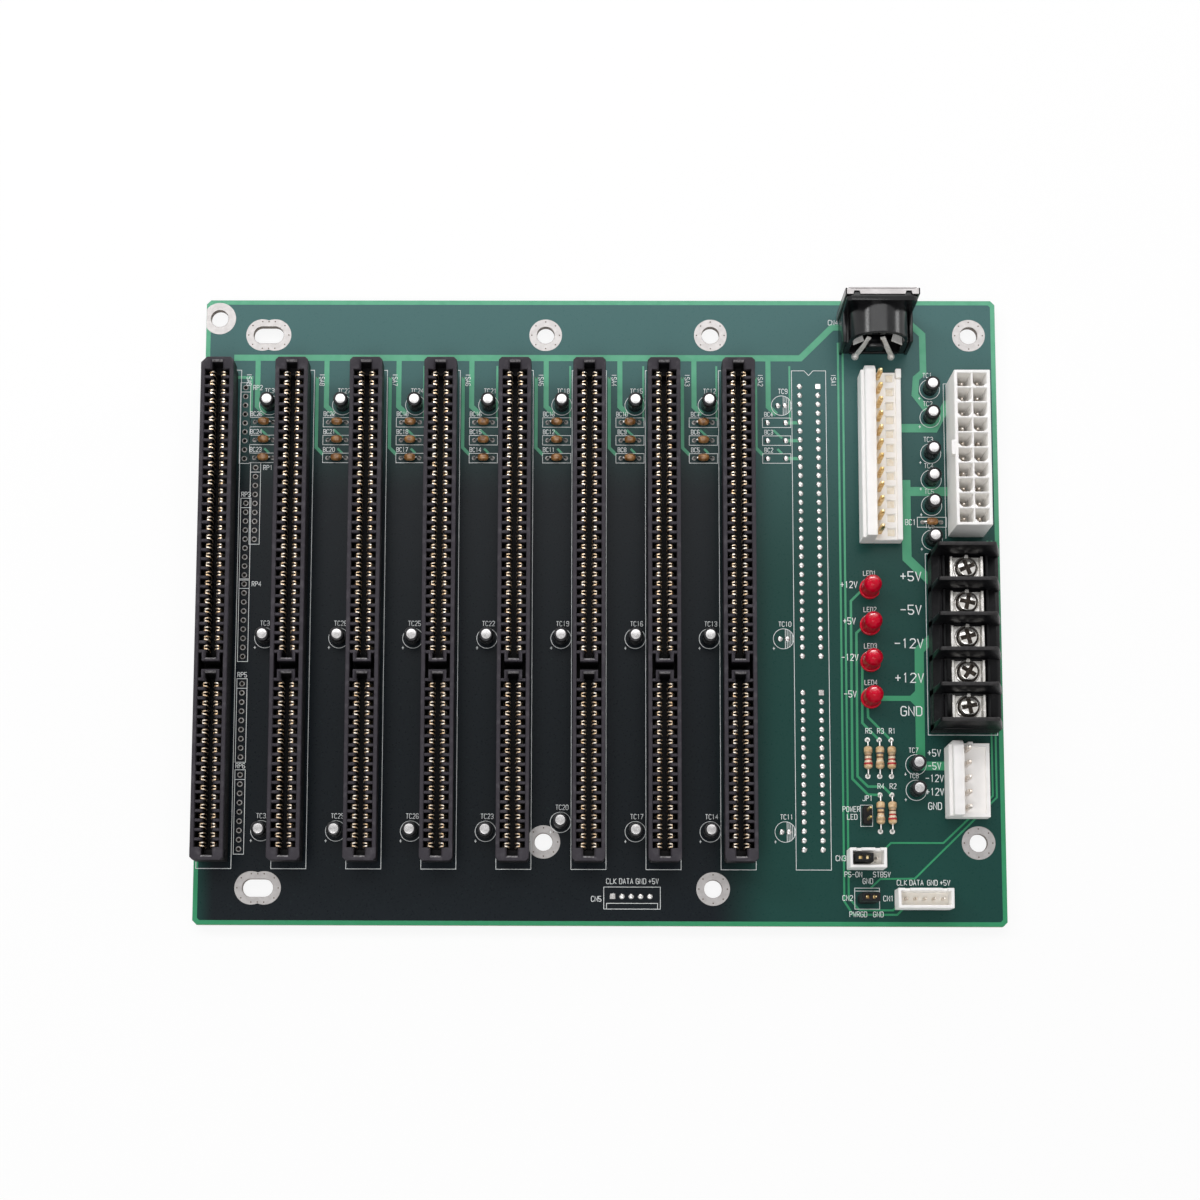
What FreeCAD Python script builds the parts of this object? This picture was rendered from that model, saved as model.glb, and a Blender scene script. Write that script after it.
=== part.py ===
import FreeCAD, Part
import math
import os
import Sketcher

# Passive eight-slot bus backplane: a bare circuit board that carries edge connectors for plug-in
# cards, supply headers, a screw terminal block, a keyboard socket and a few small parts.
# Frame: millimetres, component side up (+Z), slots run along Y, rear edge with the keyboard socket
# at +Y. The origin is the middle of the footprint, level with the tips of the solder joints.

doc = FreeCAD.newDocument("isa_backplane")
sheet = doc.addObject("Spreadsheet::Sheet", "size")

DRIVING_SIZES = {
    # circuit board
    "board_length": 220.0,
    "board_depth": 175.0,
    "board_thick": 1.6,
    "board_corner": 1.2,
    # mounting holes, from the board's edges
    "hole_radius": 2.5,
    "slotted_run": 3.5,
    "hole_edge_inset": 10.03,
    "hole_low_inset": 22.73,
    "hole_right_inset": 7.4,
    "hole_middle_inset": 94.8,
    "hole_line_inset": 140.7,
    "slotted_inset": 17.5,
    "corner_hole_side": 3.7,
    "corner_hole_rear": 5.3,
    # card slots
    "slot_count": 8,
    "slot_pitch": 20.32,
    "slot_left_inset": 5.4,
    "slot_rear_inset": 24.7,
    "contact_pitch": 2.54,
    "key_gap": 10.16,
    "long_bank": 31,
    "short_bank": 18,
    "slot_width": 8.9,
    "slot_height": 11.6,
    "slot_end": 4.3,
    "slot_end_wall": 1.3,
    "foot_width": 7.7,
    "foot_height": 6.0,
    "foot_setback": 0.6,
    "chamber_width": 6.5,
    "chamber_floor": 2.0,
    "chamber_end": 1.2,
    "card_width": 3.0,
    # contact springs of the slots
    "spring_width": 1.1,
    "spring_drop": 1.4,
    "spring_tip_drop": 2.4,
    "spring_gap": 1.5,
    # keyboard socket
    "socket_right_inset": 34.1,
    "socket_rear_inset": 3.9,
    "socket_width": 20.0,
    "socket_height": 20.0,
    "socket_depth": 11.7,
    "socket_axis": 10.0,
    "socket_shelf": 10.5,
    "barrel_radius": 8.0,
    "barrel_recess_radius": 6.8,
    "barrel_recess_depth": 3.2,
    "flange_depth": 3.4,
    "plug_ring_radius": 7.0,
    "plug_core_radius": 5.6,
    "plug_ring_depth": 7.0,
    "shield_thick": 0.4,
    "shield_wrap": 1.9,
    "shield_gap": 0.05,
    "lug_spread": 5.0,
    "lug_back": 0.8,
    "lug_root": 1.8,
    "lug_rise": 6.5,
    "lug_width": 1.4,
    "lug_thick": 0.5,
    # supply headers with a polarising wall
    "supply_pitch": 3.96,
    "supply_width": 11.4,
    "supply_base": 3.5,
    "supply_wall_height": 9.0,
    "supply_wall": 3.8,
    "supply_wall_bevel": 1.6,
    "supply_end": 0.3,
    "supply_pin": 1.14,
    "supply_pin_offset": 5.0,
    "supply_pin_top": 11.0,
    "main_count": 12,
    "main_inset": 38.5,
    "main_rear_inset": 21.2,
    "window_size": 2.3,
    "window_depth": 1.2,
    "window_offset": 8.3,
    "aux_count": 5,
    "aux_inset": 16.3,
    "aux_rear_inset": 125.3,
    # two-row supply header
    "twin_pitch": 4.2,
    "twin_columns": 2,
    "twin_rows": 10,
    "twin_width": 9.8,
    "twin_end": 2.7,
    "twin_height": 12.8,
    "twin_cell": 3.6,
    "twin_floor": 3.4,
    "twin_pin": 1.1,
    "twin_pin_drop": 3.6,
    "twin_right_inset": 9.2,
    "twin_rear_inset": 24.3,
    "latch_width": 4.0,
    "latch_reach": 0.9,
    "latch_height": 2.5,
    # screw terminal block
    "terminal_count": 5,
    "terminal_pitch": 9.5,
    "terminal_depth": 18.3,
    "terminal_base": 7.0,
    "terminal_right_inset": 1.7,
    "terminal_rear_inset": 72.55,
    "barrier_thick": 2.2,
    "barrier_height": 17.0,
    "barrier_rake": 2.6,
    "clamp_offset": 9.0,
    "clamp_length": 9.0,
    "clamp_width": 6.4,
    "clamp_thick": 0.8,
    "clamp_side": 2.2,
    "screw_radius": 3.0,
    "screw_head": 2.2,
    # shrouded signal headers
    "shroud_pitch": 2.5,
    "shroud_end": 2.45,
    "shroud_depth": 5.4,
    "shroud_height": 7.0,
    "shroud_wall": 0.8,
    "shroud_floor": 2.2,
    "shroud_notch": 1.2,
    "shroud_notch_depth": 1.4,
    "shroud_pin": 0.64,
    "shroud_pin_top": 6.0,
    "keyboard_count": 5,
    "keyboard_right_inset": 22.9,
    "keyboard_front_inset": 7.2,
    "switch_count": 3,
    "switch_right_inset": 38.2,
    "switch_front_inset": 18.0,
    # bare two-pin headers and their push-on caps
    "strip_pitch": 2.54,
    "strip_width": 2.5,
    "strip_base": 2.5,
    "strip_pin": 0.64,
    "strip_pin_top": 8.5,
    "signal_right_inset": 37.8,
    "signal_front_inset": 7.4,
    "lamp_right_inset": 37.6,
    "lamp_front_inset": 30.1,
    "cap_length": 4.9,
    "cap_width": 2.3,
    "cap_height": 6.0,
    "cap_gap": 0.05,
    # indicator lamps
    "led_count": 4,
    "led_pitch": 10.16,
    "led_right_inset": 35.9,
    "led_rear_inset": 82.1,
    "led_radius": 2.5,
    "led_rim_radius": 2.9,
    "led_rim": 1.0,
    "led_height": 8.6,
    # resistors
    "resistor_radius": 1.15,
    "resistor_length": 6.3,
    "resistor_pitch": 3.2,
    "resistor_right_inset": 37.1,
    "resistor_front_inset": 45.9,
    "resistor_row_pitch": 15.1,
    # capacitors
    "can_radius": 2.0,
    "can_height": 5.8,
    "can_lead": 2.0,
    "can_slot_offset": 12.7,
    "can_upper_inset": 30.2,
    "can_middle_inset": 96.1,
    "can_lower_inset": 149.4,
    "can_side_step": 2.5,
    "can_supply_inset": 18.5,
    "can_pair_inset": 24.0,
    "bead_radius": 1.05,
    "bead_length": 3.0,
    "bead_slot_offset": 11.3,
    "bead_rear_inset": 35.1,
    "bead_pitch": 5.08,
    "bead_supply_inset": 18.5,
    "bead_supply_rear": 63.3,
    # solder joints under the board
    "solder_drop": 1.6,
    "solder_wide": 2.2,
    "solder_small": 1.6,
}

for row, (alias, number) in enumerate(DRIVING_SIZES.items(), start=1):
    sheet.set(f"A{row}", alias)
    sheet.set(f"B{row}", str(number))
    sheet.setAlias(f"B{row}", alias)
doc.recompute()

# Places that many pieces share, as expressions over the sheet.
LEFT = "-size.board_length / 2"
RIGHT = "size.board_length / 2"
REAR = "size.board_depth / 2"
FRONT = "-size.board_depth / 2"
UNDERSIDE = "size.solder_drop"
TOP = "(size.solder_drop + size.board_thick)"

# Distances of the single supply capacitors from the rear edge, down the right-hand side.
SUPPLY_CAN_REAR = (25.5, 33.6, 43.8, 51.3, 58.6, 68.3)
SUPPLY_PAIR_REAR = (130.9, 137.9)

finished = []


def number(expression):
    """The value of an expression over the sheet."""
    return float(sheet.evalExpression(expression))


def count(alias):
    """A number of repeats from the sheet."""
    return int(round(number(f"size.{alias}")))


def tie(piece, **bindings):
    """Bind properties of a piece to expressions over the sheet."""
    for name, expression in bindings.items():
        piece.setExpression(name, expression)
    return piece


def place(piece, x, y, z):
    """Bind a piece's position to expressions over the sheet."""
    piece.setExpression("Placement.Base.x", x)
    piece.setExpression("Placement.Base.y", y)
    piece.setExpression("Placement.Base.z", z)
    return piece


def block(name, x, y, z, length, width, height):
    """A box by its low corner and its sizes."""
    piece = doc.addObject("Part::Box", name)
    tie(piece, Length=length, Width=width, Height=height)
    return place(piece, x, y, z)


def centred_block(name, x, y, z, length, width, height):
    """A box standing at z, with its middle at x, y."""
    return block(name, f"{x} - ({length}) / 2", f"{y} - ({width}) / 2", z, length, width, height)


def rod(name, x, y, z, radius, height):
    """An upright cylinder."""
    piece = doc.addObject("Part::Cylinder", name)
    tie(piece, Radius=radius, Height=height)
    return place(piece, x, y, z)


def facets(name, sides, radius, height):
    """A regular prism whose flats lie at the given radius from its axis."""
    piece = doc.addObject("Part::Prism", name)
    piece.Polygon = sides
    return tie(piece, Circumradius=f"{radius} / cos(180 deg / {sides})", Height=height)


def facets_along_y(name, sides, x, y, z, radius, length):
    """A regular prism that runs towards +Y."""
    piece = facets(name, sides, radius, length)
    piece.Placement.Rotation = FreeCAD.Rotation(FreeCAD.Vector(1, 0, 0), -90)
    return place(piece, x, y, z)


def flat_sided(name, outlines):
    """A closed solid from the outlines of its flat faces."""
    faces = [Part.Face(Part.makePolygon(points + points[:1])) for points in outlines]
    solid = Part.Solid(Part.Shell(faces))
    if solid.Volume < 0:
        solid.reverse()
    piece = doc.addObject("Part::Feature", name)
    piece.Shape = solid
    return piece


def stacked_rings(name, sides, rings):
    """A solid skinned with flats over regular rings, given as pairs of radius and height."""
    loops = []
    for radius, height in rings:
        corner = number(radius) / math.cos(math.pi / sides)
        z = number(height)
        loop = []
        for side in range(sides):
            turn = 2 * math.pi * side / sides
            loop.append(FreeCAD.Vector(corner * math.cos(turn), corner * math.sin(turn), z))
        loops.append(loop)
    outlines = [loops[0], loops[-1]]
    for lower, upper in zip(loops, loops[1:]):
        for side in range(sides):
            following = (side + 1) % sides
            outlines.append([lower[side], lower[following], upper[following], upper[side]])
    return flat_sided(name, outlines)


def joined(name, pieces):
    """Several solids fused to one."""
    piece = doc.addObject("Part::MultiFuse", name)
    piece.Shapes = pieces
    piece.Refine = True
    return piece


def cut(name, base, tools):
    """A solid less one or more tools."""
    piece = doc.addObject("Part::Cut", name)
    piece.Base = base
    piece.Tool = tools[0] if len(tools) == 1 else joined(f"{name}_tools", tools)
    piece.Refine = True
    return piece


def repeated(name, masters_and_places):
    """Separate copies of finished solids, each moved to its own place, as one group."""
    doc.recompute()
    solids = []
    for master, spots in masters_and_places:
        for spot in spots:
            solid = master.Shape.copy()
            solid.translate(spot)
            solids.append(solid)
    group = doc.addObject("Part::Feature", name)
    group.Shape = Part.makeCompound(solids)
    group.Placement = FreeCAD.Placement()
    return group


def finish(piece, label):
    """Name a sub-part and list it for the hand-over."""
    piece.Label = label
    finished.append(piece)
    return piece


def sketch_on(body, role, name):
    """An empty sketch on one of a body's origin planes."""
    plane = next(feature for feature in body.Origin.OriginFeatures if feature.Role == role)
    sketch = body.newObject("Sketcher::SketchObject", name)
    sketch.AttachmentSupport = [(plane, "")]
    sketch.MapMode = "FlatFace"
    return sketch


def pin_point(sketch, line, end, x, y):
    """Hold one end of a line at x, y."""
    for kind, expression in (("DistanceX", x), ("DistanceY", y)):
        rule = Sketcher.Constraint(kind, -1, 1, line, end, number(expression))
        index = sketch.addConstraint(rule)
        sketch.setExpression(f"Constraints[{index}]", expression)


def outline(sketch, corners):
    """A closed outline through corners given as pairs of expressions."""
    points = [FreeCAD.Vector(number(x), number(y), 0) for x, y in corners]
    lines = []
    for index, point in enumerate(points):
        following = points[(index + 1) % len(points)]
        lines.append(sketch.addGeometry(Part.LineSegment(point, following), False))
    for index, line in enumerate(lines):
        following = lines[(index + 1) % len(lines)]
        sketch.addConstraint(Sketcher.Constraint("Coincident", line, 2, following, 1))
        pin_point(sketch, line, 1, *corners[index])


def rectangle(sketch, x_low, y_low, x_high, y_high):
    """A closed rectangle between two corners."""
    outline(sketch, [(x_low, y_low), (x_high, y_low), (x_high, y_high), (x_low, y_high)])


def pad(body, sketch, name, length):
    """Raise a sketch to a solid."""
    feature = body.newObject("PartDesign::Pad", name)
    feature.Profile = sketch
    tie(feature, Length=length)
    sketch.Visibility = False
    return feature


def pocket(body, sketch, name, depth):
    """Sink a sketch into the solid, away from the sketch's normal."""
    feature = body.newObject("PartDesign::Pocket", name)
    feature.Profile = sketch
    tie(feature, Length=depth)
    sketch.Visibility = False
    return feature


# Circuit board: a glass-fibre plate with nipped corners, seven round holes and two slotted ones.
def circuit_board():
    plate = doc.addObject("PartDesign::Body", "board_plate")
    edge = sketch_on(plate, "XY_Plane", "board_outline")
    nip = "size.board_corner"
    outline(edge, [
        (f"{LEFT} + {nip}", FRONT), (f"{RIGHT} - {nip}", FRONT),
        (RIGHT, f"{FRONT} + {nip}"), (RIGHT, f"{REAR} - {nip}"),
        (f"{RIGHT} - {nip}", REAR), (f"{LEFT} + {nip}", REAR),
        (LEFT, f"{REAR} - {nip}"), (LEFT, f"{FRONT} + {nip}"),
    ])
    pad(plate, edge, "board_pad", "size.board_thick")
    place(plate, "0", "0", UNDERSIDE)

    rear = f"{REAR} - size.hole_edge_inset"
    front = f"{FRONT} + size.hole_edge_inset"
    low = f"{FRONT} + size.hole_low_inset"
    middle = f"{LEFT} + size.hole_middle_inset"
    right = f"{RIGHT} - size.hole_right_inset"
    line = f"{LEFT} + size.hole_line_inset"
    corner = (f"{LEFT} + size.corner_hole_side", f"{REAR} - size.corner_hole_rear")
    round_holes = [(middle, rear), (right, rear), (right, low), (middle, low), (line, rear), (line, front), corner]
    tools = []
    for index, (x, y) in enumerate(round_holes, start=1):
        tools.append(rod(f"hole_{index}", x, y, UNDERSIDE, "size.hole_radius", "size.board_thick"))
    for index, y in enumerate((rear, front), start=1):
        x = f"{LEFT} + size.slotted_inset"
        ends = [
            rod(f"slotted_{index}_left", f"{x} - size.slotted_run / 2", y, UNDERSIDE,
                "size.hole_radius", "size.board_thick"),
            rod(f"slotted_{index}_right", f"{x} + size.slotted_run / 2", y, UNDERSIDE,
                "size.hole_radius", "size.board_thick"),
            centred_block(f"slotted_{index}_middle", x, y, UNDERSIDE,
                          "size.slotted_run", "2 * size.hole_radius", "size.board_thick"),
        ]
        tools.append(joined(f"slotted_{index}", ends))
    finish(cut("board_drilled", plate, tools), "circuit_board")


# Card slots: a moulded T-section, sunk with two troughs that a key divides, 31 contacts long and 18
# long on each side. Local frame: X across, Y back from the first contact row, Z up from the board.
BANK_A_SPAN = "(size.long_bank - 1) * size.contact_pitch"
BANK_B_SPAN = "(size.short_bank - 1) * size.contact_pitch"
BANK_B_START = f"({BANK_A_SPAN} + size.key_gap)"
SLOT_SPAN = f"({BANK_B_START} + {BANK_B_SPAN})"
SLOT_Y = f"{REAR} - size.slot_rear_inset"
CARD_REACH = "(size.slot_end - size.slot_end_wall)"


def slot_x(index):
    return f"{LEFT} + size.slot_left_inset + {index} * size.slot_pitch"


def slot_housing(index):
    body = doc.addObject("PartDesign::Body", f"slot_body_{index + 1}")
    head = sketch_on(body, "XY_Plane", f"slot_head_{index + 1}")
    rectangle(head, "-size.slot_width / 2", f"-({SLOT_SPAN}) - size.slot_end",
              "size.slot_width / 2", "size.slot_end")
    head.setExpression("AttachmentOffset.Base.z", "size.foot_height")
    pad(body, head, f"slot_head_pad_{index + 1}", "size.slot_height - size.foot_height")

    foot = sketch_on(body, "XY_Plane", f"slot_foot_{index + 1}")
    rectangle(foot, "-size.foot_width / 2", f"-({SLOT_SPAN}) - size.slot_end + size.foot_setback",
              "size.foot_width / 2", "size.slot_end - size.foot_setback")
    pad(body, foot, f"slot_foot_pad_{index + 1}", "size.foot_height")

    depth = "size.slot_height - size.chamber_floor"
    chambers = sketch_on(body, "XY_Plane", f"slot_chambers_{index + 1}")
    chambers.setExpression("AttachmentOffset.Base.z", "size.slot_height")
    cards = sketch_on(body, "XY_Plane", f"slot_cards_{index + 1}")
    cards.setExpression("AttachmentOffset.Base.z", "size.slot_height")
    banks = (("0", BANK_A_SPAN), (BANK_B_START, f"{BANK_B_START} + {BANK_B_SPAN}"))
    for start, end in banks:
        rectangle(chambers, "-size.chamber_width / 2", f"-({end}) - size.chamber_end",
                  "size.chamber_width / 2", f"-({start}) + size.chamber_end")
        rectangle(cards, "-size.card_width / 2", f"-({end}) - {CARD_REACH}",
                  "size.card_width / 2", f"-({start}) + {CARD_REACH}")
    pocket(body, chambers, f"slot_chamber_pocket_{index + 1}", depth)
    pocket(body, cards, f"slot_card_pocket_{index + 1}", depth)
    place(body, slot_x(index), SLOT_Y, TOP)
    finish(body, f"isa_slot_{index + 1}")


def spring_blade(name, sign):
    """A blade rooted on the chamber's wall that narrows to the tip that wipes the card."""
    half = number("size.spring_width") / 2
    top = number("size.slot_height - size.spring_drop")
    tip = number("size.slot_height - size.spring_tip_drop")
    reach = sign * number("(size.chamber_width - size.spring_gap) / 2")
    corners = [
        FreeCAD.Vector(0, -half, top),
        FreeCAD.Vector(0, half, top),
        FreeCAD.Vector(0, 0, number("size.chamber_floor")),
        FreeCAD.Vector(reach, 0, tip),
    ]
    outlines = []
    for skipped in corners:
        outlines.append([corner for corner in corners if corner is not skipped])
    return flat_sided(name, outlines)


def contact_springs():
    """Two facing rows of springs in each trough of each slot."""
    rows = []
    for row in range(count("long_bank")):
        rows.append(row * number("size.contact_pitch"))
    for row in range(count("short_bank")):
        rows.append(number(BANK_B_START) + row * number("size.contact_pitch"))
    root = number("size.chamber_width") / 2
    left_blade = spring_blade("spring_left", 1)
    right_blade = spring_blade("spring_right", -1)
    for index in range(count("slot_count")):
        x = number(slot_x(index))
        y = number(SLOT_Y)
        z = number(TOP)
        left = [FreeCAD.Vector(x - root, y - row, z) for row in rows]
        right = [FreeCAD.Vector(x + root, y - row, z) for row in rows]
        group = repeated(f"springs_{index + 1}", [(left_blade, left), (right_blade, right)])
        finish(group, f"slot_contacts_{index + 1}")


# Keyboard socket: a moulded body with a round barrel, a pressed shield round its mouth and two
# contact lugs that splay out of its back and down to the board.
ROUND_SIDES = 24


def keyboard_socket():
    x = f"{RIGHT} - size.socket_right_inset"
    mouth = f"{REAR} - size.socket_rear_inset"
    axis = f"{TOP} + size.socket_axis"
    inner_width = "size.socket_width - 2 * size.shield_thick"
    inner_height = "size.socket_height - size.shield_thick"
    shell = centred_block("shield_shell", x, f"{mouth} - size.shield_wrap / 2", TOP,
                          "size.socket_width", "size.shield_wrap", "size.socket_height")
    hollow = centred_block("shield_hollow", x, f"{mouth} - size.shield_wrap / 2 - size.shield_thick", TOP,
                           inner_width, "size.shield_wrap", inner_height)
    bore = facets_along_y("shield_bore", ROUND_SIDES, x, f"{mouth} - size.shield_wrap", axis,
                          "size.plug_ring_radius", "size.shield_wrap")
    finish(cut("shield", shell, [hollow, bore]), "keyboard_socket_shield")

    face = f"{mouth} - size.shield_thick"
    back = f"{mouth} - size.socket_depth"
    step = f"{mouth} - size.flange_depth"
    width = f"{inner_width} - 2 * size.shield_gap"
    flange = centred_block("socket_flange", x, f"({face} + {step}) / 2", TOP,
                           width, "size.flange_depth - size.shield_thick", f"{inner_height} - size.shield_gap")
    shelf = centred_block("socket_shelf_block", x, f"({step} + {back}) / 2", TOP,
                          width, "size.socket_depth - size.flange_depth", "size.socket_shelf")
    barrel = facets_along_y("socket_barrel", ROUND_SIDES, x, back, axis,
                            "size.barrel_radius", "size.socket_depth - size.flange_depth")
    body = joined("socket_body", [flange, shelf, barrel])
    ring_start = f"{face} - size.plug_ring_depth"
    ring_outer = facets_along_y("ring_outer", ROUND_SIDES, x, ring_start, axis,
                                "size.plug_ring_radius", "size.plug_ring_depth")
    ring_core = facets_along_y("ring_core", ROUND_SIDES, x, ring_start, axis,
                               "size.plug_core_radius", "size.plug_ring_depth")
    ring = cut("plug_ring", ring_outer, [ring_core])
    recess = facets_along_y("barrel_recess", ROUND_SIDES, x, back, axis,
                            "size.barrel_recess_radius", "size.barrel_recess_depth")
    arch = centred_block("barrel_arch", x, f"{back} + size.barrel_recess_depth / 2", TOP,
                         "2 * size.barrel_recess_radius", "size.barrel_recess_depth", "size.socket_axis")
    finish(cut("socket_moulding", body, [ring, recess, arch]), "keyboard_socket_body")

    lugs = []
    for side, sign in (("left", -1), ("right", 1)):
        foot = doc.addObject("Part::Plane", f"lug_foot_{side}")
        tie(foot, Length="size.lug_width", Width="size.lug_thick")
        place(foot, f"{x} + {sign} * size.lug_spread - size.lug_width / 2", f"{back} - size.lug_back", TOP)
        strip = doc.addObject("Part::Extrusion", f"lug_{side}")
        strip.Base = foot
        strip.DirMode = "Custom"
        strip.Solid = True
        strip.setExpression("Dir.x", f"{sign} * (size.lug_root - size.lug_spread)")
        strip.setExpression("Dir.y", "size.lug_back + size.barrel_recess_depth - size.lug_thick")
        strip.setExpression("Dir.z", "size.lug_rise")
        lugs.append((strip, [FreeCAD.Vector()]))
    finish(repeated("socket_lugs", lugs), "keyboard_socket_lugs")


# Supply headers: a base with a tall polarising wall whose rear end is bevelled, and a row of
# square pins. The long one has a row of square windows for the plugs' ribs beside the pins.
def supply_header(label, pieces, inset, rear_inset, windows):
    left = f"{RIGHT} - size.{inset}"
    rear = f"{REAR} - size.{rear_inset}"
    span = f"(size.{pieces} * size.supply_pitch + 2 * size.supply_end)"
    body = doc.addObject("PartDesign::Body", f"{label}_body")
    section = sketch_on(body, "YZ_Plane", f"{label}_wall_outline")
    bevel = "size.supply_wall_bevel"
    outline(section, [
        (f"-{span}", "0"), ("0", "0"), ("0", f"size.supply_wall_height - {bevel}"),
        (f"-{bevel}", "size.supply_wall_height"), (f"-{span}", "size.supply_wall_height"),
    ])
    pad(body, section, f"{label}_wall", "size.supply_wall")
    base = sketch_on(body, "XY_Plane", f"{label}_base_outline")
    rectangle(base, "0", f"-{span}", "size.supply_width", "0")
    pad(body, base, f"{label}_base", "size.supply_base")
    if windows:
        openings = sketch_on(body, "XY_Plane", f"{label}_window_outlines")
        openings.setExpression("AttachmentOffset.Base.z", "size.supply_base")
        for index in range(count(pieces)):
            middle = f"-size.supply_end - {index + 0.5} * size.supply_pitch"
            rectangle(openings, "size.window_offset - size.window_size / 2", f"{middle} - size.window_size / 2",
                      "size.window_offset + size.window_size / 2", f"{middle} + size.window_size / 2")
        pocket(body, openings, f"{label}_windows", "size.window_depth")
    place(body, left, rear, TOP)
    finish(body, label)

    pin = centred_block(f"{label}_pin", f"{left} + size.supply_pin_offset",
                        f"{rear} - size.supply_end - size.supply_pitch / 2", f"{TOP} + size.supply_base",
                        "size.supply_pin", "size.supply_pin", "size.supply_pin_top - size.supply_base")
    steps = [FreeCAD.Vector(0, -index * number("size.supply_pitch"), 0) for index in range(count(pieces))]
    finish(repeated(f"{label}_pin_row", [(pin, steps)]), label.replace("header", "pins"))


# Two-row supply header: a tall block with square cells, a latch nib on its left wall and a pin
# standing in each cell.
def twin_header():
    x = f"{RIGHT} - size.twin_right_inset"
    span = "((size.twin_rows - 1) * size.twin_pitch + 2 * size.twin_end)"
    y = f"{REAR} - size.twin_rear_inset - {span} / 2"
    body = doc.addObject("PartDesign::Body", "twin_body")
    block_outline = sketch_on(body, "XY_Plane", "twin_outline")
    rectangle(block_outline, "-size.twin_width / 2", f"-{span} / 2", "size.twin_width / 2", f"{span} / 2")
    pad(body, block_outline, "twin_block", "size.twin_height")
    nib = sketch_on(body, "XY_Plane", "latch_outline")
    nib.setExpression("AttachmentOffset.Base.z", "size.twin_height - size.latch_height")
    rectangle(nib, "-size.twin_width / 2 - size.latch_reach", "-size.latch_width / 2",
              "-size.twin_width / 2", "size.latch_width / 2")
    pad(body, nib, "latch_nib", "size.latch_height")
    cells = sketch_on(body, "XY_Plane", "cell_outlines")
    cells.setExpression("AttachmentOffset.Base.z", "size.twin_height")
    spots = []
    half = "size.twin_cell / 2"
    for column in range(count("twin_columns")):
        for row in range(count("twin_rows")):
            across = f"({column} - (size.twin_columns - 1) / 2) * size.twin_pitch"
            along = f"({row} - (size.twin_rows - 1) / 2) * size.twin_pitch"
            rectangle(cells, f"{across} - {half}", f"{along} - {half}", f"{across} + {half}", f"{along} + {half}")
            spots.append(FreeCAD.Vector(number(across), number(along), 0))
    pocket(body, cells, "cell_pockets", "size.twin_height - size.twin_floor")
    place(body, x, y, TOP)
    finish(body, "atx_power_header")

    pin = centred_block("twin_pin", x, y, f"{TOP} + size.twin_floor", "size.twin_pin", "size.twin_pin",
                        "size.twin_height - size.twin_floor - size.twin_pin_drop")
    finish(repeated("twin_pin_grid", [(pin, spots)]), "atx_power_pins")


# Screw terminals: a base with raked barriers between the bays, and in each bay a U-shaped clamp
# plate under a pan-head screw.
def terminal_block():
    left = f"{RIGHT} - size.terminal_right_inset - size.terminal_depth"
    rear = f"{REAR} - size.terminal_rear_inset"
    span = "(size.terminal_count * size.terminal_pitch + size.barrier_thick)"
    base = block("terminal_base_block", left, f"{rear} - {span}", TOP,
                 "size.terminal_depth", span, "size.terminal_base")
    pieces = [base]
    for index in range(count("terminal_count") + 1):
        body = doc.addObject("PartDesign::Body", f"barrier_{index + 1}")
        fin = sketch_on(body, "XZ_Plane", f"barrier_outline_{index + 1}")
        outline(fin, [
            ("0", "size.terminal_base"), ("size.terminal_depth", "size.terminal_base"),
            ("size.terminal_depth - size.barrier_rake", "size.barrier_height"), ("0", "size.barrier_height"),
        ])
        pad(body, fin, f"barrier_pad_{index + 1}", "size.barrier_thick")
        place(body, left, f"{rear} - {index} * size.terminal_pitch", TOP)
        pieces.append(body)
    finish(joined("terminal_moulding", pieces), "terminal_block_body")

    x = f"{left} + size.clamp_offset"
    y = f"{rear} - (size.terminal_pitch + size.barrier_thick) / 2"
    seat = f"{TOP} + size.terminal_base"
    plate = centred_block("clamp_solid", x, y, seat, "size.clamp_length", "size.clamp_width", "size.clamp_side")
    trough = centred_block("clamp_trough", x, y, f"{seat} + size.clamp_thick",
                           "size.clamp_length - 2 * size.clamp_thick", "size.clamp_width", "size.clamp_side")
    clamp = cut("clamp_plate", plate, [trough])
    head = place(facets("screw_head", 12, "size.screw_radius", "size.screw_head"),
                 x, y, f"{seat} + size.clamp_thick")
    steps = [FreeCAD.Vector(0, -index * number("size.terminal_pitch"), 0) for index in range(count("terminal_count"))]
    finish(repeated("clamp_plates", [(clamp, steps)]), "terminal_clamp_plates")
    finish(repeated("screw_heads", [(head, steps)]), "terminal_screws")


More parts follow.
